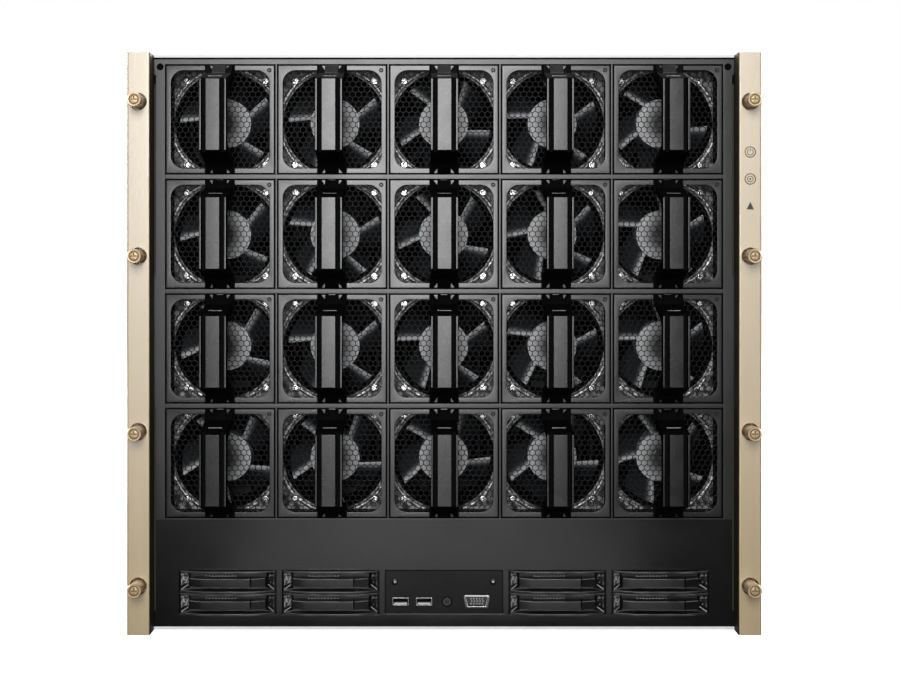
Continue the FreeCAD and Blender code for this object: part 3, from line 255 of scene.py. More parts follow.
# Sockets and boards
PINS = finish("black_insert", grey(0.008), grey(0.014), (0.4, 0.5), scale=200, relief=0.05)
INSERT = finish("socket_insert", grey(0.5), grey(0.62), (0.4, 0.5), scale=200, relief=0.05)
BOARD = finish(
    "circuit_board", (0.004, 0.014, 0.01), (0.008, 0.024, 0.016), (0.5, 0.6), scale=200, grain=1500, ior=1.3,
)

# Sheet metal
HEM = finish("bare_hem", grey(0.7), grey(0.85), (0.4, 0.5), scale=120, relief=0.1)
GALVANISED = finish(
    "galvanised_sheet", grey(0.34, 0.03), grey(0.42, 0.03), (0.6, 0.66),
    metallic=0.6, scale=150, grain=700, cells=True,
)
# Painted shade for the faces inside the chassis
INSIDE_SHADE = finish("inside_painted_shade", grey(0.01), grey(0.016), (0.6, 0.7), scale=60, grain=700, ior=1.15)
FIN = finish("dark_fins", grey(0.03), grey(0.045), (0.5, 0.6), metallic=0.6, scale=60, stretch=(8, 0.4, 8))
ALUMINIUM = finish(
    "milled_aluminium", grey(0.2), grey(0.28), (0.34, 0.46), metallic=1.0, scale=60, stretch=(8, 0.4, 8),
)
TRAY = finish("tray_sheet", grey(0.42), grey(0.46), (0.38, 0.42), metallic=0.85, scale=210, cells=True)
SUPPLY = finish("supply_case", grey(0.35), grey(0.39), (0.38, 0.42), metallic=0.85, scale=210, cells=True)


# Building blocks

# Screw heads: shares of the radius and the rise round the dome, and shares of the cross recess
SCREW_DOME = ((1.0, 0.0), (0.96, 0.55), (0.8, 0.95), (0.72, 1.0))
SCREW_SEGMENTS = 24
CROSS_HALF = 0.15
CROSS_TAPER = 0.7
CROSS_FLOOR = 0.2

# Distance at which vertices merge, in millimetres, and angle under which faces are one flat, in degrees
MERGE = 1e-4
SOLID_MERGE = 0.004
FLAT_ANGLE = 0.4


class Shape:
    """Mesh under construction, in millimetres."""

    def __init__(self):
        self.bm = bmesh.new()

    def points(self, places):
        return [self.bm.verts.new(place) for place in places]

    def circle(self, x, y, z, radius, segments, start=0.0):
        """Points round the line along Y through (x, z)."""
        angles = [start + 2 * math.pi * i / segments for i in range(segments)]
        return self.points([(x + radius * math.cos(a), y, z + radius * math.sin(a)) for a in angles])

    def face(self, verts):
        return self.bm.faces.new(verts)

    def band(self, first, second):
        """Quads between two closed loops of equal length."""
        count = len(first)
        for i in range(count):
            j = (i + 1) % count
            self.face([first[i], first[j], second[j], second[i]])

    def slab(self, front, back):
        """Closed form between two loops of places."""
        front, back = self.points(front), self.points(back)
        self.face(front)
        self.face(back[::-1])
        self.band(front, back)
        return self

    def prism(self, outline, y0, y1):
        """Polygon of (x, z) points taken from y0 back to y1."""
        return self.slab([(x, y0, z) for x, z in outline], [(x, y1, z) for x, z in outline])

    def block(self, x, y, z):
        return self.prism([(x[0], z[0]), (x[1], z[0]), (x[1], z[1]), (x[0], z[1])], y[0], y[1])

    def turned(self, x, z, profile, segments=28):
        """Surface turned about the line along Y through (x, z), from (radius, y) points."""
        rings = []
        for radius, y in profile:
            on_axis = radius == 0
            rings.append(self.points([(x, y, z)]) if on_axis else self.circle(x, y, z, radius, segments))
        for first, second in zip(rings, rings[1:]):
            if len(first) == len(second):
                self.band(first, second)
                continue
            point, loop = (first[0], second) if len(first) == 1 else (second[0], first)
            for i in range(segments):
                self.face([point, loop[i], loop[(i + 1) % segments]])
        return self

    def screw(self, x, z, y, radius, rise, cross=0.62, side=-1):
        """Domed head with a real cross recess; side -1 faces the front and 1 the rear."""
        arm = radius * cross
        thick = radius * CROSS_HALF
        recess = [
            (thick, arm), (-thick, arm), (-thick, thick), (-arm, thick), (-arm, -thick), (-thick, -thick),
            (-thick, -arm), (thick, -arm), (thick, -thick), (arm, -thick), (arm, thick), (thick, thick),
        ]
        loops = []
        for share, out in SCREW_DOME:
            loops.append(self.circle(x, y + side * rise * out, z, radius * share, SCREW_SEGMENTS))
        for first, second in zip(loops, loops[1:]):
            self.band(first, second)
        mouth = self.points([(x + u, y + side * rise, z + v) for u, v in recess])
        top = loops[-1]
        edges = [self.bm.edges.new(pair) for pair in zip(mouth, mouth[1:] + mouth[:1])]
        edges += [self.bm.edges.get(pair) for pair in zip(top, top[1:] + top[:1])]
        bmesh.ops.triangle_fill(self.bm, edges=edges, use_beauty=True)
        depth = y + side * rise * CROSS_FLOOR
        floor = self.points([(x + u * CROSS_TAPER, depth, z + v * CROSS_TAPER) for u, v in recess])
        self.band(mouth, floor)
        self.face(floor)
        return self

    def arc(self, middle, radius, thick, start, end, steps=16, sides=10):
        """Round bar bent along part of a circle about the Y axis, between two angles in degrees."""
        x, y, z = middle
        loops = []
        for step in range(steps + 1):
            turn = math.radians(start + (end - start) * step / steps)
            spots = []
            for side in range(sides):
                spin = 2 * math.pi * side / sides
                reach = radius + thick * math.cos(spin)
                out, up = reach * math.cos(turn), reach * math.sin(turn)
                spots.append((x + out, y + thick * math.sin(spin), z + up))
            loops.append(self.points(spots))
        for first, second in zip(loops, loops[1:]):
            self.band(first, second)
        self.face(loops[0])
        self.face(loops[-1][::-1])
        return self

    def ring(self, x, z, inner, outer, y0, y1, segments=32):
        """Flat ring between two radii."""
        profile = [(inner, y1), (inner, y0), (outer, y0), (outer, y1), (inner, y1)]
        return self.turned(x, z, profile, segments)

    def mesh(self, name, material, bevel=0.0, smooth=50.0):
        """Finished mesh in metres, with softened edges where asked."""
        bmesh.ops.remove_doubles(self.bm, verts=self.bm.verts, dist=MERGE)
        bmesh.ops.recalc_face_normals(self.bm, faces=self.bm.faces)
        return solid_mesh(self.bm, name, material, bevel, smooth)


def soften(bm, width, sharp=30.0):
    """Two-segment bevel on every edge sharper than an angle."""
    if not width:
        return
    edges = [e for e in bm.edges if e.is_manifold and e.calc_face_angle(0.0) > math.radians(sharp)]
    bmesh.ops.bevel(
        bm, geom=edges, offset=width, offset_type="OFFSET", segments=2, profile=0.5,
        affect="EDGES", clamp_overlap=True,
    )


def to_mesh(bm, name, material, smooth):
    """Mesh whose normals lean to the larger faces, so that flats stay flat beside a softened edge."""
    bm.normal_update()
    limit = math.cos(math.radians(smooth))
    pull = {face: face.normal * face.calc_area() for face in bm.faces}
    normals = []
    for face in bm.faces:
        for loop in face.loops:
            near = [pull[other] for other in loop.vert.link_faces if face.normal.dot(other.normal) > limit]
            normals.append(sum(near, Vector()).normalized())
    mesh = bpy.data.meshes.new(name)
    bm.to_mesh(mesh)
    bm.free()
    mesh.shade_smooth()
    mesh.set_sharp_from_angle(angle=math.radians(smooth))
    mesh.normals_split_custom_set(normals)
    mesh.materials.append(material)
    return mesh


def solid_mesh(part, name, material, bevel=0.0, smooth=50.0):
    """Finished mesh in metres from a bmesh in millimetres."""
    soften(part, bevel)
    bmesh.ops.scale(part, vec=(MM,) * 3, verts=part.verts)
    return to_mesh(part, name, material, smooth)


def add(name, mesh, body="chassis", at=(0, 0, 0), replaces=None):
    """Places a mesh, in millimetres, and lets it ride on a body."""
    piece = bpy.data.objects.new(name, mesh)
    piece.location = Vector(at) * MM
    bpy.context.scene.collection.objects.link(piece)
    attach(piece, body)
    if replaces:
        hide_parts(replaces)


def solids(node, origin=(0, 0, 0)):
    """The node's separate solids as bmeshes in millimetres about an origin, each with its box."""
    whole = bmesh.new()
    whole.from_mesh(NODES[node].data)
    bmesh.ops.scale(whole, vec=(1 / MM,) * 3, verts=whole.verts)
    bmesh.ops.translate(whole, vec=-Vector(origin), verts=whole.verts)
    bmesh.ops.remove_doubles(whole, verts=whole.verts, dist=SOLID_MERGE)
    whole.verts.index_update()
    whole.faces.index_update()
    found = []
    left = set(whole.verts)
    while left:
        stack = [left.pop()]
        island = set(stack)
        while stack:
            for edge in stack.pop().link_edges:
                for vert in edge.verts:
                    if vert not in island:
                        island.add(vert)
                        stack.append(vert)
        left -= island
        part = bmesh.new()
        copies = {vert: part.verts.new(vert.co) for vert in sorted(island, key=lambda v: v.index)}
        for face in sorted({f for vert in island for f in vert.link_faces}, key=lambda f: f.index):
            part.faces.new([copies[vert] for vert in face.verts])
        bmesh.ops.dissolve_limit(
            part, angle_limit=math.radians(FLAT_ANGLE), verts=part.verts, edges=part.edges,
        )
        low = Vector([min(v.co[i] for v in part.verts) for i in range(3)])
        high = Vector([max(v.co[i] for v in part.verts) for i in range(3)])
        found.append((part, low, high))
    whole.free()
    return sorted(found, key=lambda item: [round(value, 2) for value in (*item[1], *item[2])])


def split_at(part, point, normal):
    """Cuts a solid's faces along a plane, so that each side can have its own material."""
    geometry = part.verts[:] + part.edges[:] + part.faces[:]
    bmesh.ops.bisect_plane(part, geom=geometry, dist=1e-3, plane_co=point, plane_no=normal)


def honeycomb(width, height, pitch, web, y0, y1):
    """Open sheet of hexagons, each a rim of quads and six walls."""
    shape = Shape()
    outer = pitch / math.sqrt(3)
    inner = (pitch - web) / math.sqrt(3)
    step = pitch * math.sqrt(3) / 2
    rows = int(height / 2 / step)
    start = math.radians(30)
    for row in range(-rows, rows + 1):
        shift = pitch / 2 if row % 2 else 0.0
        columns = int((width / 2 + shift) / pitch)
        for column in range(-columns, columns + 1):
            x, z = column * pitch + shift, row * step
            if abs(x) > width / 2:
                continue
            rim = shape.circle(x, y0, z, outer, 6, start)
            mouth = shape.circle(x, y0, z, inner, 6, start)
            back = shape.circle(x, y1, z, inner, 6, start)
            shape.band(rim, mouth)
            shape.band(mouth, back)
    return shape


def dress(node, material):
    """Gives a CAD node that stays its procedural material."""
    mesh = NODES[node].data
    mesh.materials.clear()
    mesh.materials.append(material)
    for polygon in mesh.polygons:
        polygon.material_index = 0
    return mesh


def paint(mesh, material, chosen):
    """Gives a further material to the faces chosen by their middle, in millimetres, and their normal."""
    index = len(mesh.materials)
    mesh.materials.append(material)
    for polygon in mesh.polygons:
        if chosen(polygon.center / MM, polygon.normal):
            polygon.material_index = index
    return mesh


def shaded(mesh, deep):
    """Painted shade, a rough dark moulding, on every face but the front ones that lie before a depth."""
    return paint(mesh, PAINTED_SHADE, lambda spot, normal: not (normal.y < FRONT_NORMAL and spot.y < deep))


def shade_inside(mesh):
    """Painted shade on what lies inside the chassis, darkest on the faces that look forward."""
    paint(mesh, INSIDE_SHADE, lambda spot, normal: spot.y < REAR_Y - 2.5)
    return paint(mesh, PAINTED_SHADE, lambda spot, normal: normal.y < FORWARD_NORMAL)


def front_middle(node):
    """Middle of a node that sits in the front panel, on the panel's face."""
    low, high = corners_mm(node)
    return Vector(((low.x + high.x) / 2, PANEL_Y, (low.z + high.z) / 2))


# Fan wall

# Depths that tell a module's solids apart
GRILLE_DEPTH, FRAME_DEPTH, SLEEVE_DEPTH = 1.0, 40.0, 90.0
# Handle: half width of its bar, reach of its ridge, and the heights between which a light line is painted
# across its upper leg as a highlight
BAR_HALF = 5.15
RIDGE = 10.5
CREASE = (30.12, 30.4)
# Fine honeycomb behind the face plate
GRILLE_SIDE, GRILLE_PITCH, GRILLE_WEB = 80.5, 4.5, 0.58
GRILLE_FRONT, GRILLE_BACK = 1.75, 2.75
# Rounded lips in the corners of the frame, each an arc about a diagonal
BELL_RADIUS, LIP_THICK, LIP_HALF_TURN = 43.6, 1.9, 24
FAN_SCREWS = [(x, z) for x in (-31.4, 31.4) for z in (-33.2, 33.6)]
FAN_SCREW_Y, FAN_SCREW_RADIUS, FAN_SCREW_RISE = 33.98, 3.3, 1.9
# Small round light in the plate's upper right corner, and the hub's cap, as (radius, y)
LIGHT_AT = 37.9
LIGHT_PROFILE = [(0, 0.02), (1.2, -0.02), (1.45, -0.16), (1.7, -0.04), (1.7, 0.3)]
HUB_RADIUS = 19.35
HUB_PROFILE = [
    (0, -0.5), (4.8, -0.5), (5.2, -0.9), (6.4, -0.9), (6.8, -0.5), (16.6, -0.45), (18.4, 0.0),
    (HUB_RADIUS, 1.2),
]


def fan_handle(part, front):
    """Pull handle with painted shade on its flanks, a dimmer black painted as shade on its upper slope, and
    a light line painted as a highlight across its upper leg.
    """
    for side in (BAR_HALF, -BAR_HALF):
        split_at(part, (side, 0, 0), (1, 0, 0))
    for height in CREASE:
        split_at(part, (0, 0, height), (0, 0, 1))

    def on_slope(spot, normal):
        upper = spot.y > -RIDGE and abs(spot.x) < BAR_HALF and spot.z > 0
        return upper and FRONT_NORMAL < normal.y < FORWARD_NORMAL

    def on_crease(spot, normal):
        return normal.z > 0.5 and abs(spot.x) < BAR_HALF and CREASE[0] < spot.z < CREASE[1]

    mesh = shaded(solid_mesh(part, "fan_handle", HANDLE, 0.25), front + 2.0)
    paint(mesh, MATT_COAT_AND_SHADE, on_slope)
    return paint(mesh, CREASE_HIGHLIGHT, on_crease)


def fan_frame(part, front):
    """Frame with painted glints on its front corners, and the lips of its bell mouth."""
    mesh = solid_mesh(part, "fan_frame", FRAME, 0.3)
    paint(mesh, CORNER_GLINTS, lambda spot, normal: normal.y < FRONT_NORMAL and spot.y < front + 0.5)
    lips = Shape()
    for diagonal in (45, 135, 225, 315):
        lips.arc(
            (0, front + 0.4, 0), BELL_RADIUS, LIP_THICK, diagonal - LIP_HALF_TURN, diagonal + LIP_HALF_TURN,
        )
    return {"frame": mesh, "lips": lips.mesh("fan_lips", LIP)}


def fan_pieces():
    """Meshes shared by all fan modules, about the middle of one module's face."""
    made = {}
    for part, low, high in solids("fan_module_r1c1", front_middle("fan_module_r1c1")):
        deep = high.y - low.y
        if high.y < FLUSH:
            made["handle"] = fan_handle(part, low.y)
        elif low.y < FLUSH:
            # The plate's bevels and sides take painted shade, which darkens the lines between plates
            made["plate"] = shaded(solid_mesh(part, "fan_plate", PLATE, 0.3), 0.3)
        elif deep < GRILLE_DEPTH:
            part.free()
        elif deep > SLEEVE_DEPTH:
            made["sleeve"] = solid_mesh(part, "fan_sleeve", SLEEVE)
        elif deep > FRAME_DEPTH:
            made.update(fan_frame(part, low.y))
        else:
            made["plug"] = solid_mesh(part, "fan_plug", DARK, 0.3)
    grille = honeycomb(GRILLE_SIDE, GRILLE_SIDE, GRILLE_PITCH, GRILLE_WEB, GRILLE_FRONT, GRILLE_BACK)
    made["grille"] = grille.mesh("fan_grille", GRILLE, smooth=20)
    # The cell walls are painted lighter than the rims, as glints
    paint(made["grille"], GRILLE_WALL_GLINT, lambda spot, normal: abs(normal.y) < 0.5)
    screws = Shape()
    for x, z in FAN_SCREWS:
        screws.screw(x, z, FAN_SCREW_Y, FAN_SCREW_RADIUS, FAN_SCREW_RISE)
    made["screws"] = screws.mesh("fan_screws", STEEL)
    made["light"] = Shape().turned(LIGHT_AT, LIGHT_AT, LIGHT_PROFILE, 20).mesh("fan_light", LENS)
    return made


def dress_rotor(node, at):
    """Grey hub, and blades with painted light at their leading edges, on one rotor."""
    rotor = dress(node, BLADE)
    rotor.materials.append(HUB)
    for polygon in rotor.polygons:
        spots = [rotor.vertices[i].co / MM for i in polygon.vertices]
        radius = max(math.hypot(spot.x - at.x, spot.z - at.z) for spot in spots)
        if radius < HUB_RADIUS + 0.3:
            polygon.material_index = 1


def fan_wall():
    shared = fan_pieces()
    cap = Shape().turned(0, 0, HUB_PROFILE, 40).mesh("fan_hub", HUB)
    hub_y = corners_mm("fan_rotor_r1c1")[0].y
    for row in range(1, ROWS + 1):
        for column in range(1, COLUMNS + 1):
            tag = "r%dc%d" % (row, column)
            node = "fan_module_" + tag
            at = front_middle(node)
            for kind, mesh in shared.items():
                add("fan_%s_%s" % (kind, tag), mesh, node, at, node)
            rotor = "fan_rotor_" + tag
            dress_rotor(rotor, at)
            add("fan_hub_" + tag, cap, rotor, (at.x, hub_y, at.z))


fan_wall()


# Front panel, chassis and cover

# Height of the fan wall's lower edge, thickness of the panel's skin and depth of the fan cage's walls
FAN_FOOT = 85.0
SKIN = 1.0
CAGE_DEPTH = 50.0
PANEL_SCREWS_X, PANEL_SCREWS_Z = (-219.0, 219.0), 434.2


def front_panel():
    """Panel face, fan cage and the fan backplane."""
    for number, (part, low, high) in enumerate(solids("front_panel")):
        name, material, bevel = "front_frame_%d" % number, FACE, 0.2
        if low.y < PANEL_Y + SKIN and high.y > PANEL_Y + CAGE_DEPTH:
            material = SHELF
            split_at(part, (0, 0, FAN_FOOT), (0, 0, 1))
        elif low.y > PANEL_Y + CAGE_DEPTH:
            name, material, bevel = "fan_backplane", BOARD, 0.0
        mesh = solid_mesh(part, name, material, bevel)
        # All but the panel's front faces take painted shade
        if low.y < PANEL_Y + SKIN:
            face = PANEL_Y + 0.3
            shaded(mesh, face)
            paint(
                mesh, FACE,
                lambda spot, normal: normal.y < FRONT_NORMAL and spot.y < face and spot.z < FAN_FOOT,
            )
        add(name, mesh, replaces="front_panel")


def inside(spot, normal):
    """Whether a face of the tub or the cover looks into the chassis."""
    on_side = abs(spot.x) > PANEL_HIGH.x - 3.0 and normal.x * spot.x > 0
    on_end = spot.z < FLUSH or spot.z > COVER_HIGH.z - FLUSH or spot.y > REAR_Y - FLUSH
    return not (on_side or on_end)


def sheets():
    """Tub and cover with painted shade inside, darkest on faces that look forward, and bare front hems."""
    for node, material in (("chassis_tub", GALVANISED), ("top_cover", BLACK)):
        sheet = dress(node, material)
        paint(sheet, INSIDE_SHADE, inside)
        paint(sheet, PAINTED_SHADE, lambda spot, normal: inside(spot, normal) and normal.y < FORWARD_NORMAL)
        paint(sheet, HEM, lambda spot, normal: spot.y < PANEL_Y + FLUSH)


def hem_painted_shadow():
    """Painted shadow: a dark line where the panel's rolled upper edge meets the cover's hem."""
    across, top = PANEL_HIGH.x, PANEL_HIGH.z
    shape = Shape().block((-across, across), (PANEL_Y - 0.04, PANEL_Y + 0.3), (top - 0.05, top + 1.3))
    return shape.mesh("hem_painted_shadow", PAINTED_SHADE, 0.02)


def panel_screws():
    """Countersunk screws in the upper corners of the panel, made in painted shade so that they look like
    dark hollows.
    """
    shape = Shape()
    for x in PANEL_SCREWS_X:
        shape.screw(x, PANEL_SCREWS_Z, PANEL_Y + 0.05, 2.75, 0.4)
    return shape.mesh("panel_screws", PAINTED_SHADE)


front_panel()
sheets()
add("hem_painted_shadow", hem_painted_shadow())
add("panel_screws", panel_screws())


# Rack ears, thumbscrews and buttons

SCREW_X = (EAR_HIGH.x + PANEL_HIGH.x) / 2
SCREW_LOW, SCREW_HIGH = corners_mm("rack_thumbscrews")
KNOB = 5.5
INNER_SCREW = 154.825
SCREW_ROWS = (SCREW_LOW.z + KNOB, INNER_SCREW, EAR_HIGH.z - INNER_SCREW, SCREW_HIGH.z - KNOB)
# Depths behind the ear's face at which the knob's collar ends and the thread begins
KNOB_WELL, EAR_STEP = 11.0, 24.5
THREAD_PITCH = 1.0
# Signs on the buttons, raised a little over the button's face
SIGN_RISE, SIGN_ROOT = 0.04, 0.2
POWER_RADII = (2.0, 2.6)
POWER_START, POWER_TURN, POWER_STEPS = 125, 290, 24


def ear_mesh(part, name):
    """Ear with a bright front and outer side, and painted shade on its side towards the panel."""

    def hidden(spot, normal):
        inward = normal.x * spot.x < 0 and abs(normal.x) > 0.8
        behind = normal.y < FORWARD_NORMAL and spot.y > PANEL_Y
        return abs(spot.x) < PANEL_HIGH.x + 2.0 and (inward or behind)

    return paint(solid_mesh(part, name, EAR, 0.25), EAR_SHADE, hidden)


def rack_ears():
    """Both ears, and the triangular light in the right one."""
    for word in ("left", "right"):
        node = word + "_rack_ear"
        for part, low, high in solids(node):
            if high.z - low.z > 50:
                name = word + "_ear"
                add(name, ear_mesh(part, name), replaces=node)
            else:
                add("fault_light", solid_mesh(part, "fault_light", INK, 0.15), replaces=node)


def thumbscrew():
    """Knob with a rolled head, a cross recess and a threaded stud, about its own axis."""
    tip, end = SCREW_LOW.y, SCREW_HIGH.y
    well, y = EAR_Y + KNOB_WELL, EAR_Y + EAR_STEP
    head = [(3.3, tip + 1.1), (3.8, tip + 1.1), (4.1, tip + 0.05), (5.0, tip), (KNOB - 0.05, tip + 0.5)]
    shank = [
        (KNOB - 0.05, tip + 0.5), (KNOB, tip + 0.9), (KNOB, tip + 3.9), (KNOB - 0.3, tip + 4.2),
        (KNOB - 0.5, tip + 4.4), (KNOB - 0.5, well), (2.5, well), (2.5, y), (3.0, y),
    ]
    while y < end - 1.5:
        shank += [(3.0, y + 0.2), (2.7, y + 0.7)]
        y += THREAD_PITCH
    shank += [(2.6, end - 0.6), (2.0, end), (0, end)]
    shape = Shape().screw(0, 0, tip + 1.1, 3.3, 1.05, cross=0.78)
    shape.turned(0, 0, head, 24).turned(0, 0, shank, 24)

    def recessed(spot, normal):
        radius = math.hypot(spot.x, spot.z)
        in_cross = radius < 2.6 and spot.y > tip + 0.2
        in_groove = 3.2 < radius < 3.95 and spot.y > tip + 0.5
        return spot.y < tip + 1.4 and (in_cross or in_groove)

    # The cross recess and the groove round it are painted darker, as shade
    return paint(shape.mesh("thumbscrew", GOLD), KNOB_RECESS_SHADE, recessed)


def thumbscrews():
    mesh = thumbscrew()
    for side, word in ((-1, "left"), (1, "right")):
        for number, z in enumerate(SCREW_ROWS):
            name = "thumbscrew_%s_%d" % (word, number + 1)
            add(name, mesh, "chassis", (side * SCREW_X, 0, z), "rack_thumbscrews")


def button_sign(node, kind):
    """Plain sign on a button's face: a broken ring with a bar, or a ring with a dot."""
    low, high = corners_mm(node)
    x, z = (low.x + high.x) / 2, (low.z + high.z) / 2
    front, root = low.y - SIGN_RISE, low.y + SIGN_ROOT
    sign = Shape()
    if kind == "power":
        steps = range(POWER_STEPS + 1)
        angles = [math.radians(POWER_START + POWER_TURN * i / POWER_STEPS) for i in steps]
        inner, outer = [[(x + r * math.cos(a), z + r * math.sin(a)) for a in angles] for r in POWER_RADII]
        sign.prism(outer + inner[::-1], front, root)
        sign.block((x - 0.3, x + 0.3), (front, root), (z + 0.6, z + 3.0))
    else:
        sign.ring(x, z, 1.9, 2.5, front, root)
        sign.turned(x, z, [(0, front), (0.8, front), (0.8, root)], 20)
    return sign.mesh(node + "_sign", INK)


rack_ears()
thumbscrews()
for node, kind, material in (
    ("power_button", "power", EAR), ("identify_button", "dot", EAR), ("console_button", "power", CARRIER),
):
    dress(node, material)
    add(node + "_sign", button_sign(node, kind), node)


# Drive carriers

# Sizes that tell a carrier's solids apart
DRIVE_REACH, TRAY_DEPTH, BEZEL_HEIGHT = 100.0, 120.0, 10.0
# Splayed ends of the recess: how far out they begin and end, their depth, and the plates' thickness
END_OUTER, END_INNER, END_DEPTH, END_THICK = 35.7, 30.9, 5.0, 0.5
VENTS, VENT_PITCH, VENT_SHIFT, VENT_HEIGHT = 10, 2.5, -6.0, 2.1
VENT_PROFILE = [(0, 5.1), (0.75, 5.15), (1.0, 5.35), (1.0, 6.1)]


def end_plate(side, low_outer, low_inner, high_outer, high_inner):
    """Thin plate on a splayed end of a carrier's recess, between heights at its outer and inner edge."""
    outer, inner = side * END_OUTER, side * END_INNER
    ring = [
        (outer, 0.1, low_outer), (inner, END_DEPTH, low_inner),
        (inner, END_DEPTH, high_inner), (outer, 0.1, high_outer),
    ]
    return Shape().slab([(x, y - END_THICK, z) for x, y, z in ring], [(x, y + 0.2, z) for x, y, z in ring])


def edged(mesh):
    """Lighter edges along the top and bottom of a carrier's front faces, painted as highlights."""
    return paint(mesh, GLINT, lambda spot, normal: -0.97 < normal.y < -0.25 and abs(normal.z) > 0.3)


def carrier_pieces():
    """Meshes shared by all drive carriers, about the middle of one carrier's face."""
    made = {}
    for part, low, high in solids("drive_carrier_1", front_middle("drive_carrier_1")):
        if high.y > DRIVE_REACH and high.y - low.y > TRAY_DEPTH:
            made["tray"] = solid_mesh(part, "carrier_tray", GALVANISED)
        elif high.y > DRIVE_REACH:
            made["drive"] = solid_mesh(part, "carrier_drive", SUPPLY, 0.5)
        elif high.z - low.z > BEZEL_HEIGHT:
            made["bezel"] = edged(solid_mesh(part, "carrier_bezel", CARRIER, 0.3))
        elif low.x > 0:
            made["release"] = edged(solid_mesh(part, "carrier_release", LEVER, 0.35))
        else:
            made["lever"] = edged(solid_mesh(part, "carrier_lever", LEVER, 0.35))
    dots = Shape()
    for i in range(VENTS):
        dots.turned((i - (VENTS - 1) / 2) * VENT_PITCH + VENT_SHIFT, VENT_HEIGHT, VENT_PROFILE, 14)
    made["vents"] = dots.mesh("carrier_vents", HEM)
    ends = (("left", -1, PALE), ("right", 1, DOTTED))
    for word, side, material in ends:
        name = word + "_end"
        made[name] = end_plate(side, -3.0, -2.4, 5.7, 5.7).mesh("carrier_" + name, material, 0.15)
    # Thin pale strips along the lower edges of the splayed ends, as painted highlights
    for word, side, material in ends:
        name = word + "_edge"
        made[name] = end_plate(side, -6.6, -3.9, -6.6 + 0.9, -3.9 + 0.8).mesh("carrier_" + name, RIM, 0.1)
    return made


def drive_carriers():
    shared = carrier_pieces()
    for number in range(1, CARRIERS + 1):
        node = "drive_carrier_%d" % number
        for kind, mesh in shared.items():
            add("carrier_%s_%d" % (kind, number), mesh, node, front_middle(node), node)


drive_carriers()


# Console plate

# Sizes that tell the console's solids apart
PLATE_WIDTH, PLATE_DEPTH, SCREW_DEPTH, VIDEO_WIDTH = 80.0, 20.0, 4.0, 15.0
USB_CONTACTS = 4
PIN_ROWS, PIN_COLUMNS, PIN_PITCH = 3, 5, 2.2
# Rolled rim of the video socket: how far out and how deep each loop lies
VIDEO_RIM = ((0.0, 0.3), (0.1, -0.35), (0.9, -0.35), (1.3, 0.0), (1.3, 0.3))


def usb_pieces(low, high):
    """Tongue in a USB socket and its contacts."""
    tongue, contacts = Shape(), Shape()
    floor = low.z + 1.0
    top = floor + 1.9
    tongue.block((low.x + 1.2, high.x - 1.2), (low.y + 1.6, high.y - 1.0), (floor, top))
    for i in range(USB_CONTACTS):
        x = low.x + 2.4 + i * (high.x - low.x - 4.8) / (USB_CONTACTS - 1)
        contacts.block((x - 0.5, x + 0.5), (low.y + 1.5, high.y - 2.0), (top, floor + 2.1))
    return {
        "usb_tongue": tongue.mesh("usb_tongue", INSERT, 0.1),
        "usb_contacts": contacts.mesh("usb_contacts", GOLD),
    }


def video_pieces(low, high):
    """Black insert of the video socket, its three rows of pin holes and its D-shaped rim."""
    body, holes, shell = Shape(), Shape(), Shape()
    y = low.y + 1.4
    middle = (low.x + high.x) / 2
    wide, narrow = (high.x - low.x) / 2 - 0.9, (high.x - low.x) / 2 - 2.4
    bottom, top = low.z + 0.8, high.z - 0.8
    outline = [
        (middle - narrow, bottom), (middle + narrow, bottom), (middle + wide, top), (middle - wide, top),
    ]
    body.prism(outline, y, y + 6.0)
    for row in range(PIN_ROWS):
        z = low.z + (high.z - low.z) * (0.27 + 0.23 * row)
        for i in range(PIN_COLUMNS):
            x = middle + (i - 2) * PIN_PITCH + (0.55 if row == 1 else 0.0)
            holes.turned(x, z, [(0.25, y + 0.1), (0.3, y - 0.12), (0.55, y - 0.12), (0.6, y + 0.1)], 12)
    loops = []
    for grow, deep in VIDEO_RIM:
        flat, slant = narrow + 1.0 + grow, wide + 1.0 + grow
        bottom, top = low.z - grow + 0.4, high.z + grow - 0.4
        outline = [
            (middle - flat, bottom), (middle + flat, bottom), (middle + slant, top - 1.4),
            (middle + slant - 1.2, top), (middle - slant + 1.2, top), (middle - slant, top - 1.4),
        ]
        loops.append(shell.points([(x, low.y + deep, z) for x, z in outline]))
    for first, second in zip(loops, loops[1:] + loops[:1]):
        shell.band(first, second)
    return {
        "video_body": body.mesh("video_body", PINS, 0.15),
        "video_holes": holes.mesh("video_holes", RIM),
        "video_shell": shell.mesh("video_shell", ALUMINIUM),
    }


def socket_screw(low, high):
    """Low screw with a hexagon socket."""
    middle = (low + high) / 2
    radius = (high.x - low.x) / 2
    y = low.y
    brim = [(radius, y + 1.2), (radius, y + 0.3), (radius - 0.3, y), (0.62 * radius, y)]
    socket = [(0.62 * radius, y), (0.55 * radius, y - 0.15), (0.5 * radius, y + 0.2), (0, y + 1.0)]
    head = Shape().turned(middle.x, middle.z, brim, 28).turned(middle.x, middle.z, socket, 6)

    def in_socket(spot, normal):
        return math.hypot(spot.x - middle.x, spot.z - middle.z) < 0.3 * radius

    # The middle of the socket is painted pale, as a highlight
    return paint(head.mesh("console_screw", STEEL_DARK), RIM, in_socket)


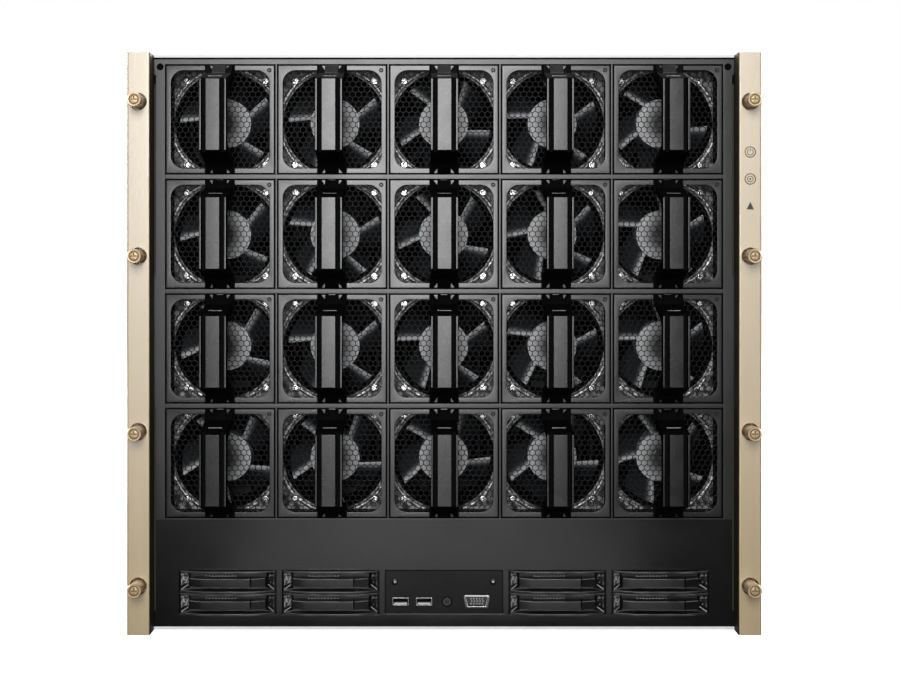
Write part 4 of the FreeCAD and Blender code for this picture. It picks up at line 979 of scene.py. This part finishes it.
def console():
    """Plate, board, sockets and screws of the console."""
    for number, (part, low, high) in enumerate(solids("console_panel")):
        size = high - low
        fittings = {}
        # The plate and the sockets take painted shade on all but their front faces
        if size.x > PLATE_WIDTH and size.y < PLATE_DEPTH:
            fittings["plate"] = shaded(solid_mesh(part, "console_plate", MATT_COAT_AND_SHADE, 0.2), PANEL_Y + 0.3)
        elif size.x > PLATE_WIDTH:
            fittings["board"] = solid_mesh(part, "console_board", BOARD, 0.1)
        elif size.y < SCREW_DEPTH:
            part.free()
            fittings["screw"] = socket_screw(low, high)
        elif size.x > VIDEO_WIDTH:
            fittings = video_pieces(low, high)
            fittings["video"] = shaded(solid_mesh(part, "console_video", STEEL, 0.12), PANEL_Y + 0.3)
        else:
            fittings = usb_pieces(low, high)
            fittings["usb"] = shaded(solid_mesh(part, "console_usb", STEEL, 0.08), PANEL_Y + 0.3)
        for kind, mesh in fittings.items():
            name = "console_%s_%d" % (kind, number)
            add(name, mesh, replaces="console_panel")


console()


# Rear trays and power supplies

# Sizes that tell the trays' solids apart
SHEET_DEPTH, WINDOW_WIDTH, WINDOW_HEIGHT = 2.0, (60.0, 150.0), 60.0
REAR_PLATE_WIDTH, PAN_DEPTH, BOARD_THICKNESS, SINK_HEIGHT = 200.0, 400.0, (1.55, 5.0), 40.0
CASE_DEPTH, GRIP_REACH = 100.0, 5.0
# Exhaust windows: half depth of the rim and of the comb, and the rim's width at the sides and at the top
EXHAUST_RIM_DEEP, EXHAUST_DEEP = 0.74, 0.7
EXHAUST_SIDE, EXHAUST_TOP, EXHAUST_LAP = 3.4, 4.6, 8.0
EXHAUST_PITCH, EXHAUST_WEB = 6.4, 0.9
ADAPTER_PORTS = ((-42.0, -26.0), (-20.0, -4.0))
ADAPTER_ROWS, ADAPTER_PITCH, ADAPTER_START = 9, 4.2, 6.0
# Outline of a supply's release latch, as distances from the case's left side and heights, and its lamp
LATCH = ((3.5, 11.0), (9.0, 11.0), (9.0, 27.0), (6.2, 31.0), (3.5, 31.0))
LAMP_X, LAMP_Z = 6.2, 36.5
LAMP = ((0, 0.7), (1.1, 0.55), (1.6, 0.0), (1.6, -0.3))


def exhaust(low, high, name):
    """Fine honeycomb in a plain rim that fills one exhaust window, about its middle."""
    width, height = high.x - low.x, high.z - low.z
    across, up = width / 2, height / 2
    shape = honeycomb(
        width - EXHAUST_LAP, height - EXHAUST_LAP, EXHAUST_PITCH, EXHAUST_WEB, -EXHAUST_DEEP, EXHAUST_DEEP,
    )
    for x, z in (
        ((-across, across), (up - EXHAUST_TOP, up)), ((-across, across), (-up, EXHAUST_TOP - up)),
        ((-across, EXHAUST_SIDE - across), (-up, up)), ((across - EXHAUST_SIDE, across), (-up, up)),
    ):
        shape.block(x, (-EXHAUST_RIM_DEEP, EXHAUST_RIM_DEEP), z)
    return shape.mesh(name, TRAY, smooth=20)


def exhaust_screen(low, high):
    """Dark sheet close before an exhaust window, for the fine mesh behind the honeycomb."""
    shape = Shape().block(
        (low.x + 0.5, high.x - 0.5), (low.y - 0.8, low.y - 0.3), (low.z + 0.5, high.z - 0.5),
    )
    return shape.mesh("exhaust_screen", DARK, 0.1)


def adapter_pieces():
    """Ports with dark mouths and two columns of vents on an adapter bracket, about the bracket's face."""
    shell, mouth, vents = Shape(), Shape(), Shape()
    for z0, z1 in ADAPTER_PORTS:
        shell.block((-4.6, 4.6), (-0.2, 0.9), (z0, z1))
        mouth.block((-3.6, 3.6), (0.5, 0.98), (z0 + 1.0, z1 - 1.0))
    for i in range(ADAPTER_ROWS):
        for x in (-2.2, 2.2):
            vents.turned(x, ADAPTER_START + ADAPTER_PITCH * i, [(0, 0.04), (1.45, 0.04), (1.6, -0.2)], 12)
    return {
        "adapter_port": shell.mesh("adapter_port", STEEL, 0.2),
        "adapter_mouth": mouth.mesh("adapter_mouth", PINS, 0.1),
        "adapter_vents": vents.mesh("adapter_vents", DARK),
    }


def cage_collar(low, high):
    """Dark gasket round a network cage, behind the tray's face."""
    deep = (REAR_Y - 5.0, REAR_Y - 1.55)
    wide, lap = 1.5, 0.05
    shape = Shape()
    shape.block((low.x - wide, low.x + lap), deep, (low.z, high.z + wide))
    shape.block((high.x - lap, high.x + wide), deep, (low.z, high.z + wide))
    shape.block((low.x + lap, high.x - lap), deep, (high.z - lap, high.z + wide))
    return shape.mesh("cage_collar", DARK, 0.1)


def tray_kind(low, high):
    """Name, material and bevel of one of the rear trays' solids."""
    size = high - low
    if low.y > REAR_Y - 1:
        return "tray_pull", BLACK, 0.6
    if size.y < SHEET_DEPTH and WINDOW_WIDTH[0] < size.x < WINDOW_WIDTH[1] and size.z > WINDOW_HEIGHT:
        return "exhaust", TRAY, 0.0
    if size.y < SHEET_DEPTH:
        return ("rear_plate", TRAY, 0.2) if size.x > REAR_PLATE_WIDTH else ("bracket", STEEL, 0.15)
    if size.y > PAN_DEPTH:
        is_board = BOARD_THICKNESS[0] < size.z < BOARD_THICKNESS[1]
        return ("board", BOARD, 0.0) if is_board else ("tray_pan", TRAY, 0.2)
    return ("heat_sink", FIN, 0.0) if size.z > SINK_HEIGHT else ("network_cage", STEEL, 0.15)


def rear_trays():
    """Both trays with their honeycombs, collars and adapter ports."""
    adapter = adapter_pieces()
    for number, (part, low, high) in enumerate(solids("rear_trays")):
        kind, material, bevel = tray_kind(low, high)
        name = "%s_%d" % (kind, number)
        middle = (low + high) / 2
        if kind == "exhaust":
            part.free()
            add(name, exhaust(low, high, name), "chassis", middle, "rear_trays")
            screen = exhaust_screen(low, high)
            add("exhaust_screen_%d" % number, screen)
            continue
        mesh = solid_mesh(part, name, material, bevel)
        if kind != "heat_sink":
            shade_inside(mesh)
        add(name, mesh, replaces="rear_trays")
        if kind == "network_cage":
            add("cage_collar_%d" % number, cage_collar(low, high))
        if kind == "bracket":
            at = (middle.x, high.y, middle.z)
            for word, mesh in adapter.items():
                add("%s_%d" % (word, number), mesh, "chassis", at)


def supply_fittings(low):
    """Release latch and round lamp on a supply's rear face."""
    latch = Shape().prism([(low.x + x, z) for x, z in LATCH], REAR_Y - 0.2, REAR_Y + 6.5)
    lamp = Shape().turned(low.x + LAMP_X, LAMP_Z, [(radius, REAR_Y + out) for radius, out in LAMP], 20)
    return {
        "supply_latch": latch.mesh("supply_latch", TAB, 0.6),
        "supply_lamp": lamp.mesh("supply_lamp", LENS),
    }


def power_supplies():
    for number, (part, low, high) in enumerate(solids("power_supplies")):
        if high.y - low.y > CASE_DEPTH:
            kind, material, bevel = "supply_case", SUPPLY, 0.2
        elif high.y > REAR_Y + GRIP_REACH:
            kind, material, bevel = "supply_grip", BLACK, 0.8
        else:
            kind, material, bevel = "supply_inlet", DARK, 0.2
        name = "%s_%d" % (kind, number)
        mesh = shade_inside(solid_mesh(part, name, material, bevel))
        add(name, mesh, replaces="power_supplies")
        if kind == "supply_case":
            for word, mesh in supply_fittings(low).items():
                add("%s_%d" % (word, number), mesh)


rear_trays()
power_supplies()


# Small fasteners and the seal under the cover

REAR_SCREWS = [(x, z) for x in (-212.0, 212.0) for z in (56.0, 118.0, 225.0, 288.0, 312.0, 428.0)]
REAR_SCREWS += [(x, z) for x in (-102.75, 0.0, 102.75) for z in (48.6, 171.6, 294.8)]
SMALL_SCREW = 2.6
COVER_SCREWS, COVER_SCREW_Z = (-380.0, -230.0, -80.0, 70.0, 220.0, 370.0), 431.0
RAIL_STUDS, RAIL_Z = (-330.0, -90.0, 150.0, 390.0), 222.0
STUD = [(0, -3.2), (3.4, -3.2), (4.0, -2.7), (4.0, -1.4), (2.6, -1.1), (2.6, 0.2)]
SEAL_HALF, SEAL_HEIGHTS = 218.0, ((298.2, 299.45), (439.6, 441.6))


def rear_screws():
    shape = Shape()
    for x, z in REAR_SCREWS:
        shape.screw(x, z, REAR_Y - 0.02, SMALL_SCREW, 0.9, side=1)
    return shape.mesh("rear_screws", STEEL)


def seal():
    """Dark strips that close the slits above the two trays."""
    shape = Shape()
    for z in SEAL_HEIGHTS:
        shape.block((-SEAL_HALF, SEAL_HALF), (REAR_Y - 7.0, REAR_Y - 1.6), z)
    return shape.mesh("cover_seal", DARK, 0.2)


def side_fittings(side):
    """Cover screws and rail studs on one side of the chassis, turned from the front to face outwards."""
    screws, studs = Shape(), Shape()
    face = -COVER_HIGH.x
    for y in COVER_SCREWS:
        screws.screw(side * y, COVER_SCREW_Z, face + 0.02, SMALL_SCREW, 0.7)
    for y in RAIL_STUDS:
        studs.turned(side * y, RAIL_Z, [(radius, face + deep) for radius, deep in STUD], 24)
    made = {
        "cover_screws": screws.mesh("cover_screws", STEEL_DARK),
        "rail_studs": studs.mesh("rail_studs", STEEL),
    }
    for mesh in made.values():
        mesh.transform(Matrix.Rotation(side * math.pi / 2, 4, "Z"))
    return made


add("rear_screws", rear_screws())
add("cover_seal", seal())
for side, word in ((-1, "left"), (1, "right")):
    for kind, mesh in side_fittings(side).items():
        add("%s_%s" % (kind, word), mesh)


# Floor, light and camera, in metres

FLOOR = 6
CARD_HEIGHT = 0.001
# Each light's place, the spot it points to, its size and its power in watts
LIGHTS = {
    "key": ((-0.09, -2.3, 0.86), (-0.03, -0.4, 0.28), (0.58, 1.35), 36.0),
    "low": ((-0.06, -2.3, 0.1), (-0.03, -0.4, 0.2), (0.35, 0.16), 2.4),
    "strip": ((0.95, -2.2, 0.9), (0.2, -0.4, 0.3), (0.2, 0.8), 3.0),
    "over": ((0.0, 0.5, 2.2), (0.0, 0.35, 0.2), (1.6, 1.2), 45.0),
    "left": ((-2.2, 0.7, 0.9), (0.0, 0.2, 0.2), (1.4, 1.0), 60.0),
    "right": ((2.2, 0.7, 0.9), (0.0, 0.2, 0.2), (1.4, 1.0), 60.0),
    "rear": ((0.3, 2.4, 1.1), (0.0, 0.4, 0.22), (1.6, 1.2), 60.0),
}
WORLD_COLOUR, WORLD_STRENGTH = (0.75, 0.76, 0.78, 1), 0.04
WHITE = (1, 1, 1, 1)
CAMERA_X, CAMERA_DISTANCE, CAMERA_Z = -0.0104, 1.12, 0.286
CAMERA_LENS, CAMERA_SHIFT = 58.96, (0.0216, -0.0878)


def flat_sheet(name, x, y, height, material):
    """Level rectangle between two spans."""
    mesh = bpy.data.meshes.new(name)
    spots = [(x[0], y[0], height), (x[1], y[0], height), (x[1], y[1], height), (x[0], y[1], height)]
    mesh.from_pydata(spots, [], [(0, 1, 2, 3)])
    mesh.materials.append(material)
    sheet = bpy.data.objects.new(name, mesh)
    bpy.context.scene.collection.objects.link(sheet)
    return sheet


pale = finish("pale_floor", grey(0.86), grey(0.9), (0.7, 0.8), scale=3, grain=60, relief=0.02)
glow = pale.node_tree.nodes["Principled BSDF"].inputs
glow["Emission Color"].default_value = WHITE
glow["Emission Strength"].default_value = 1.0
floor = flat_sheet("floor", (-FLOOR, FLOOR), (-FLOOR, FLOOR), 0, pale)
floor.visible_diffuse = False
floor.visible_glossy = False

# Grey card on the floor before the panel, which only reflections see
card_grey = finish("bounce_card", grey(0.46), grey(0.54), (0.7, 0.8), scale=3, grain=60, relief=0.02)
card = flat_sheet("bounce_card", (-0.19, 0.18), (-0.92, -0.45), CARD_HEIGHT, card_grey)
card.visible_camera = False
card.visible_diffuse = False
card.visible_shadow = False

for name, (at, toward, size, power) in LIGHTS.items():
    lamp = bpy.data.lights.new(name, "AREA")
    lamp.shape = "RECTANGLE"
    lamp.size, lamp.size_y = size
    lamp.energy = power
    light = bpy.data.objects.new(name, lamp)
    light.location = at
    light.rotation_euler = (Vector(toward) - Vector(at)).to_track_quat("-Z", "Y").to_euler()
    bpy.context.scene.collection.objects.link(light)

# Plain white behind the object, and little light from the surroundings
world = bpy.data.worlds.new("studio")
world.use_nodes = True
bpy.context.scene.world = world
tree = world.node_tree
back = tree.nodes["Background"]
back.inputs["Color"].default_value = WORLD_COLOUR
back.inputs["Strength"].default_value = WORLD_STRENGTH
white = shader_node(tree, "Background", {"Color": WHITE, "Strength": 1.0})
path = shader_node(tree, "LightPath")
choose = shader_node(tree, "MixShader", None, {
    "Fac": path.outputs["Is Camera Ray"], 1: back.outputs["Background"], 2: white.outputs["Background"],
})
tree.links.new(choose.outputs["Shader"], tree.nodes["World Output"].inputs["Surface"])
bpy.context.scene.view_settings.view_transform = "Standard"

lens = bpy.data.cameras.new("camera")
lens.sensor_width = 36.0
lens.lens = CAMERA_LENS
lens.shift_x, lens.shift_y = CAMERA_SHIFT
lens.clip_start = 0.05
camera = bpy.data.objects.new("camera", lens)
camera.location = (CAMERA_X, EAR_Y * MM - CAMERA_DISTANCE, CAMERA_Z)
camera.rotation_euler = (math.radians(90), 0, 0)
bpy.context.scene.collection.objects.link(camera)
bpy.context.scene.camera = camera
